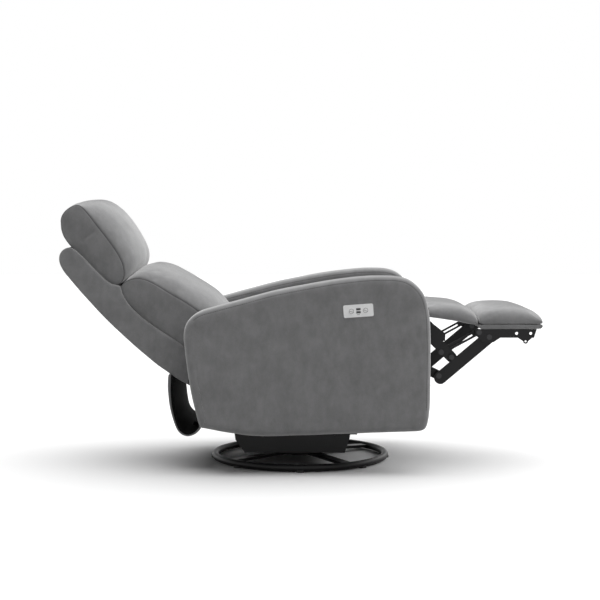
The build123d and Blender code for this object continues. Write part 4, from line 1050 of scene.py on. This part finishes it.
class RECLINER_OT_rear_panel(bpy.types.Operator):
    """Covered panel under the back that curls in below, and its lining"""

    bl_idname = "recliner.rear_panel"
    bl_label = "Rear panel"

    def execute(self, context):
        half = REAR_PANEL_HALF_WIDTH
        cloth = self.board("rear_panel_cloth", REAR_PANEL_OUTSIDE, half, REAR_PANEL_ROLL, REAR_PANEL_INSETS)
        held = list(range(len(cloth.data.vertices)))
        note_pad(cloth, [], held, limit=0.5, fill=PANEL_FILL, depth=0, wave=0.6)
        half -= LINING_SETBACK
        lining = self.board("rear_panel_lining", REAR_LINING_LINE, half, LINING_ROLL, LINING_INSETS)
        lining.data.shade_smooth()
        dress(lining, "frame", "black_lining")
        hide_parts("rear_panel_liner")
        return {"FINISHED"}

    def board(self, name, outer, half_width, roll, insets):
        line = smooth_loop(outer + REAR_PANEL_INSIDE, REAR_PANEL_POINTS)
        rings = rolled_rings(line, -half_width, half_width, roll, insets, REAR_PANEL_ROWS)
        return skin(name, rings, start=REAR_PANEL_POINTS - 2, across=2)


class RECLINER_OT_seat(bpy.types.Operator):
    """Seat cushion with a sewn channel across it"""

    bl_idname = "recliner.seat"
    bl_label = "Seat"

    def execute(self, context):
        cushion(
            "seat_cover", SEAT_LINE, SEAT_HALF_WIDTH, leaning=False,
            count=144, start=140, across=8, limit=9.0,
        )
        return {"FINISHED"}


class RECLINER_OT_footrest(bpy.types.Operator):
    """Mid pad, ottoman cushion and the covered band under it"""

    bl_idname = "recliner.footrest"
    bl_label = "Footrest pads"

    def execute(self, context):
        pillow("mid_pad_cover", MID_PAD_LINE, MID_PAD_HALF_WIDTH, count=64, across=5, limit=6.0)
        pillow("ottoman_cover", OTTOMAN_LINE, OTTOMAN_HALF_WIDTH, count=72, across=5, limit=6.0)
        pillow("ottoman_band_cover", OTTOMAN_BAND_LINE, OTTOMAN_HALF_WIDTH, count=72, across=4, limit=1.0)
        return {"FINISHED"}


def keep_flat(piece):
    """Holds an arm's outer panel back, so that the control plate lies on it."""
    most = (ARM_OUTER - PLATE_SETBACK) * MM
    for vertex in piece.data.vertices:
        if abs(vertex.co.y) > most:
            vertex.co.y = math.copysign(most, vertex.co.y)


class RECLINER_OT_filling(bpy.types.Operator):
    """Fills the covers, sews their seams and puts them in place of the plain solids"""

    bl_idname = "recliner.filling"
    bl_label = "Filling"

    def execute(self, context):
        fill_pads([pad for pad in PADS.values() if pad["limit"] > FIRM_LIMIT])
        for name, pad in PADS.items():
            body, node = COVERS[name]
            if node.endswith("_arm"):
                keep_flat(pad["piece"])
            if name == "headrest_cover":
                press_fold(pad["piece"])
            sew(pad)
            dress(pad["piece"], body, "upholstery")
            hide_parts(node)
        return {"FINISHED"}


class RECLINER_OT_stitching(bpy.types.Operator):
    """Stitches on the arms, and threads in the seams of the cushions"""

    bl_idname = "recliner.stitching"
    bl_label = "Stitching"

    def execute(self, context):
        for name, pad in PADS.items():
            body, node = COVERS[name]
            vertices = pad["piece"].data.vertices
            for number, ring in enumerate(pad["seams"]):
                points = [vertices[index].co.copy() for index in ring]
                normals = [vertices[index].normal.copy() for index in ring]
                if node.endswith("_arm"):
                    stitch_row(f"{name}_stitches_{number}", points, normals, body)
                else:
                    thread_line(f"{name}_thread_{number}", points, normals, body)
        return {"FINISHED"}


class RECLINER_OT_crease(bpy.types.Operator):
    """Cloth that closes the gap between the seat and the back"""

    bl_idname = "recliner.crease"
    bl_label = "Crease cloth"

    def execute(self, context):
        line = smooth_run(CREASE_LINE)
        length = sum((after - point).length for point, after in zip(line, line[1:]))
        piece = strip("crease_cloth", line, CREASE_HALF_WIDTH, CREASE_COLUMNS)
        ruffle(piece, CREASE_RUFFLE)
        piece.data.materials.append(finish_for("upholstery"))
        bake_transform(piece)
        return {"FINISHED"}


def stroke(middle, length, turn):
    """A raised printed stroke on the control plate, turned about the line of sight."""
    bpy.ops.object.select_all(action="DESELECT")
    bpy.ops.mesh.primitive_cube_add(size=1.0, location=middle, rotation=(0.0, -turn, 0.0))
    piece = bpy.context.object
    piece.scale = (length, STROKE_DEPTH, STROKE_WIDTH)
    bpy.ops.object.transform_apply(location=True, rotation=True, scale=True)
    bpy.ops.object.mode_set(mode="EDIT")
    bpy.ops.mesh.select_all(action="SELECT")
    bpy.ops.mesh.bevel(offset=STROKE_EDGE, segments=2, affect="EDGES")
    bpy.ops.object.mode_set(mode="OBJECT")
    return piece


def button_ring(middle):
    """A raised printed ring on a push button."""
    bpy.ops.object.select_all(action="DESELECT")
    bpy.ops.mesh.primitive_torus_add(
        major_radius=SIGN_RING_RADIUS, minor_radius=SIGN_RING_LINE, major_segments=56, minor_segments=8,
        location=middle, rotation=(math.pi / 2, 0.0, 0.0),
    )
    ring = bpy.context.object
    bpy.ops.object.transform_apply(location=True, rotation=True, scale=True)
    bpy.ops.object.shade_smooth()
    return ring


def seat_sign(middle, lean):
    """Strokes of a seat with a leg, whose back leans by the given degrees."""
    turn = math.radians(lean)
    seat = middle + SEAT_PLACE
    back = seat + BACK_PLACE + Vector((math.cos(turn), 0.0, math.sin(turn))) * BACK_REACH
    return [
        stroke(seat, SEAT_STROKE, 0.0),
        stroke(back, BACK_STROKE, turn),
        stroke(seat + LEG_PLACE, LEG_STROKE, LEG_TURN),
    ]


class RECLINER_OT_marks(bpy.types.Operator):
    """Ring and seat sign on each push button, and the charging light under the sockets"""

    bl_idname = "recliner.marks"
    bl_label = "Control marks"

    def execute(self, context):
        for button, lean in BACK_LEANS.items():
            low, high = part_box(button)
            middle = (Vector(low) + Vector(high)) / 2
            middle.y = low[1] - SIGN_LIFT
            ring = button_ring(middle)
            parts = seat_sign(middle, lean)
            bpy.ops.object.select_all(action="DESELECT")
            for part in parts + [ring]:
                part.select_set(True)
            context.view_layer.objects.active = ring
            bpy.ops.object.join()
            ring.name = f"{button}_sign"
            dress(ring, button, "dark_plastic", "sign_ink")
        low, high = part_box("usb_sockets")
        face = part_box("control_plate")[0][1] - SIGN_LIFT
        middle = ((low[0] + high[0]) / 2, face, low[2] - CHARGING_DROP)
        light = stroke(middle, CHARGING_LIGHT, CHARGING_TURN)
        light.name = "charging_light"
        dress(light, "frame", "dark_plastic", "sign_ink")
        return {"FINISHED"}


class RECLINER_OT_finishes(bpy.types.Operator):
    """Finishes for the solid pieces that stay in view"""

    bl_idname = "recliner.finishes"
    bl_label = "Finishes"

    def execute(self, context):
        for part in frame["record"]["subparts"]:
            node = frame["nodes"][part["node"]]
            node.data.materials.clear()
            slot = OTHER_FINISH.get(part["node"], part["material_slot"])
            node.data.materials.append(finish_for(slot))
        return {"FINISHED"}


class RECLINER_OT_stage(bpy.types.Operator):
    """Pale floor, soft lamp, white surroundings and the camera"""

    bl_idname = "recliner.stage"
    bl_label = "Stage"

    def execute(self, context):
        light = context.scene.recliner_light
        self.floor()
        self.lamp(light.key, light.key_spread)
        self.surround(light.surround)
        self.camera(context)
        context.scene.view_settings.view_transform = "Standard"
        return {"FINISHED"}

    def floor(self):
        bpy.ops.object.select_all(action="DESELECT")
        bpy.ops.mesh.primitive_grid_add(x_subdivisions=8, y_subdivisions=8, size=FLOOR_SIZE)
        floor = bpy.context.object
        floor.name = "floor"
        finish = Finish("pale_floor")
        finish.set(base_color=finish.blend(finish.seen(), FLOOR_LIT, FLOOR_SEEN), roughness=0.9)
        finish.gloss(0.0)
        floor.data.materials.append(finish.material)

    def lamp(self, strength, spread):
        data = bpy.data.lights.new("key_lamp", "SUN")
        data.energy = strength
        data.angle = spread
        lamp = bpy.data.objects.new("key_lamp", data)
        lamp.location = LAMP_PLACE
        lamp.rotation_euler = (-Vector(LAMP_PLACE)).to_track_quat("-Z", "Y").to_euler()
        bpy.context.scene.collection.objects.link(lamp)

    def surround(self, strength):
        world = bpy.data.worlds.new("studio")
        bpy.context.scene.world = world
        world.use_nodes = True
        desk = Desk(world.node_tree)
        lit = desk.nodes["Background"]
        lit.inputs["Color"].default_value = WHITE
        lit.inputs["Strength"].default_value = strength
        white = desk.add("ShaderNodeBackground", None, {"Color": WHITE, "Strength": 1.0})
        mix = {0: desk.seen(), 1: Value(desk, lit.outputs[0]), 2: white}
        desk.feed(desk.nodes["World Output"].inputs["Surface"], desk.add("ShaderNodeMixShader", None, mix))

    def camera(self, context):
        sizes = context.scene.recliner_camera
        data = bpy.data.cameras.new("viewer")
        data.lens = sizes.lens
        data.sensor_width = sizes.film
        data.dof.use_dof = False
        camera = bpy.data.objects.new("viewer", data)
        camera.location = (0.0, -sizes.distance, sizes.height)
        camera.rotation_euler = (math.pi / 2 - sizes.pitch, 0.0, 0.0)
        context.scene.collection.objects.link(camera)
        context.scene.camera = camera


OPERATORS = (
    RECLINER_OT_arms,
    RECLINER_OT_back,
    RECLINER_OT_rear_panel,
    RECLINER_OT_seat,
    RECLINER_OT_footrest,
    RECLINER_OT_filling,
    RECLINER_OT_stitching,
    RECLINER_OT_crease,
    RECLINER_OT_marks,
    RECLINER_OT_finishes,
    RECLINER_OT_stage,
)


class RECLINER_PT_sidebar(bpy.types.Panel):
    """Lists the steps that dress the recliner"""

    bl_idname = "RECLINER_PT_sidebar"
    bl_label = "Recliner"
    bl_space_type = "VIEW_3D"
    bl_region_type = "UI"
    bl_category = "Recliner"

    def draw(self, context):
        for step in OPERATORS:
            self.layout.operator(step.bl_idname)


SETTINGS = {
    "recliner_cloth": ReclinerCloth,
    "recliner_padding": ReclinerPadding,
    "recliner_light": ReclinerLight,
    "recliner_camera": ReclinerCamera,
}


def register():
    for group in SETTINGS.values():
        bpy.utils.register_class(group)
    for name, group in SETTINGS.items():
        setattr(bpy.types.Scene, name, PointerProperty(type=group))
    for step in OPERATORS:
        bpy.utils.register_class(step)
    bpy.utils.register_class(RECLINER_PT_sidebar)


def unregister():
    bpy.utils.unregister_class(RECLINER_PT_sidebar)
    for step in reversed(OPERATORS):
        bpy.utils.unregister_class(step)
    for name in SETTINGS:
        delattr(bpy.types.Scene, name)
    for group in SETTINGS.values():
        bpy.utils.unregister_class(group)


def main():
    register()
    bpy.ops.recliner.stage()
    bpy.ops.recliner.arms()
    bpy.ops.recliner.back()
    bpy.ops.recliner.rear_panel()
    bpy.ops.recliner.seat()
    bpy.ops.recliner.footrest()
    bpy.ops.recliner.filling()
    bpy.ops.recliner.stitching()
    bpy.ops.recliner.crease()
    bpy.ops.recliner.marks()
    bpy.ops.recliner.finishes()


if __name__ == "__main__":
    main()
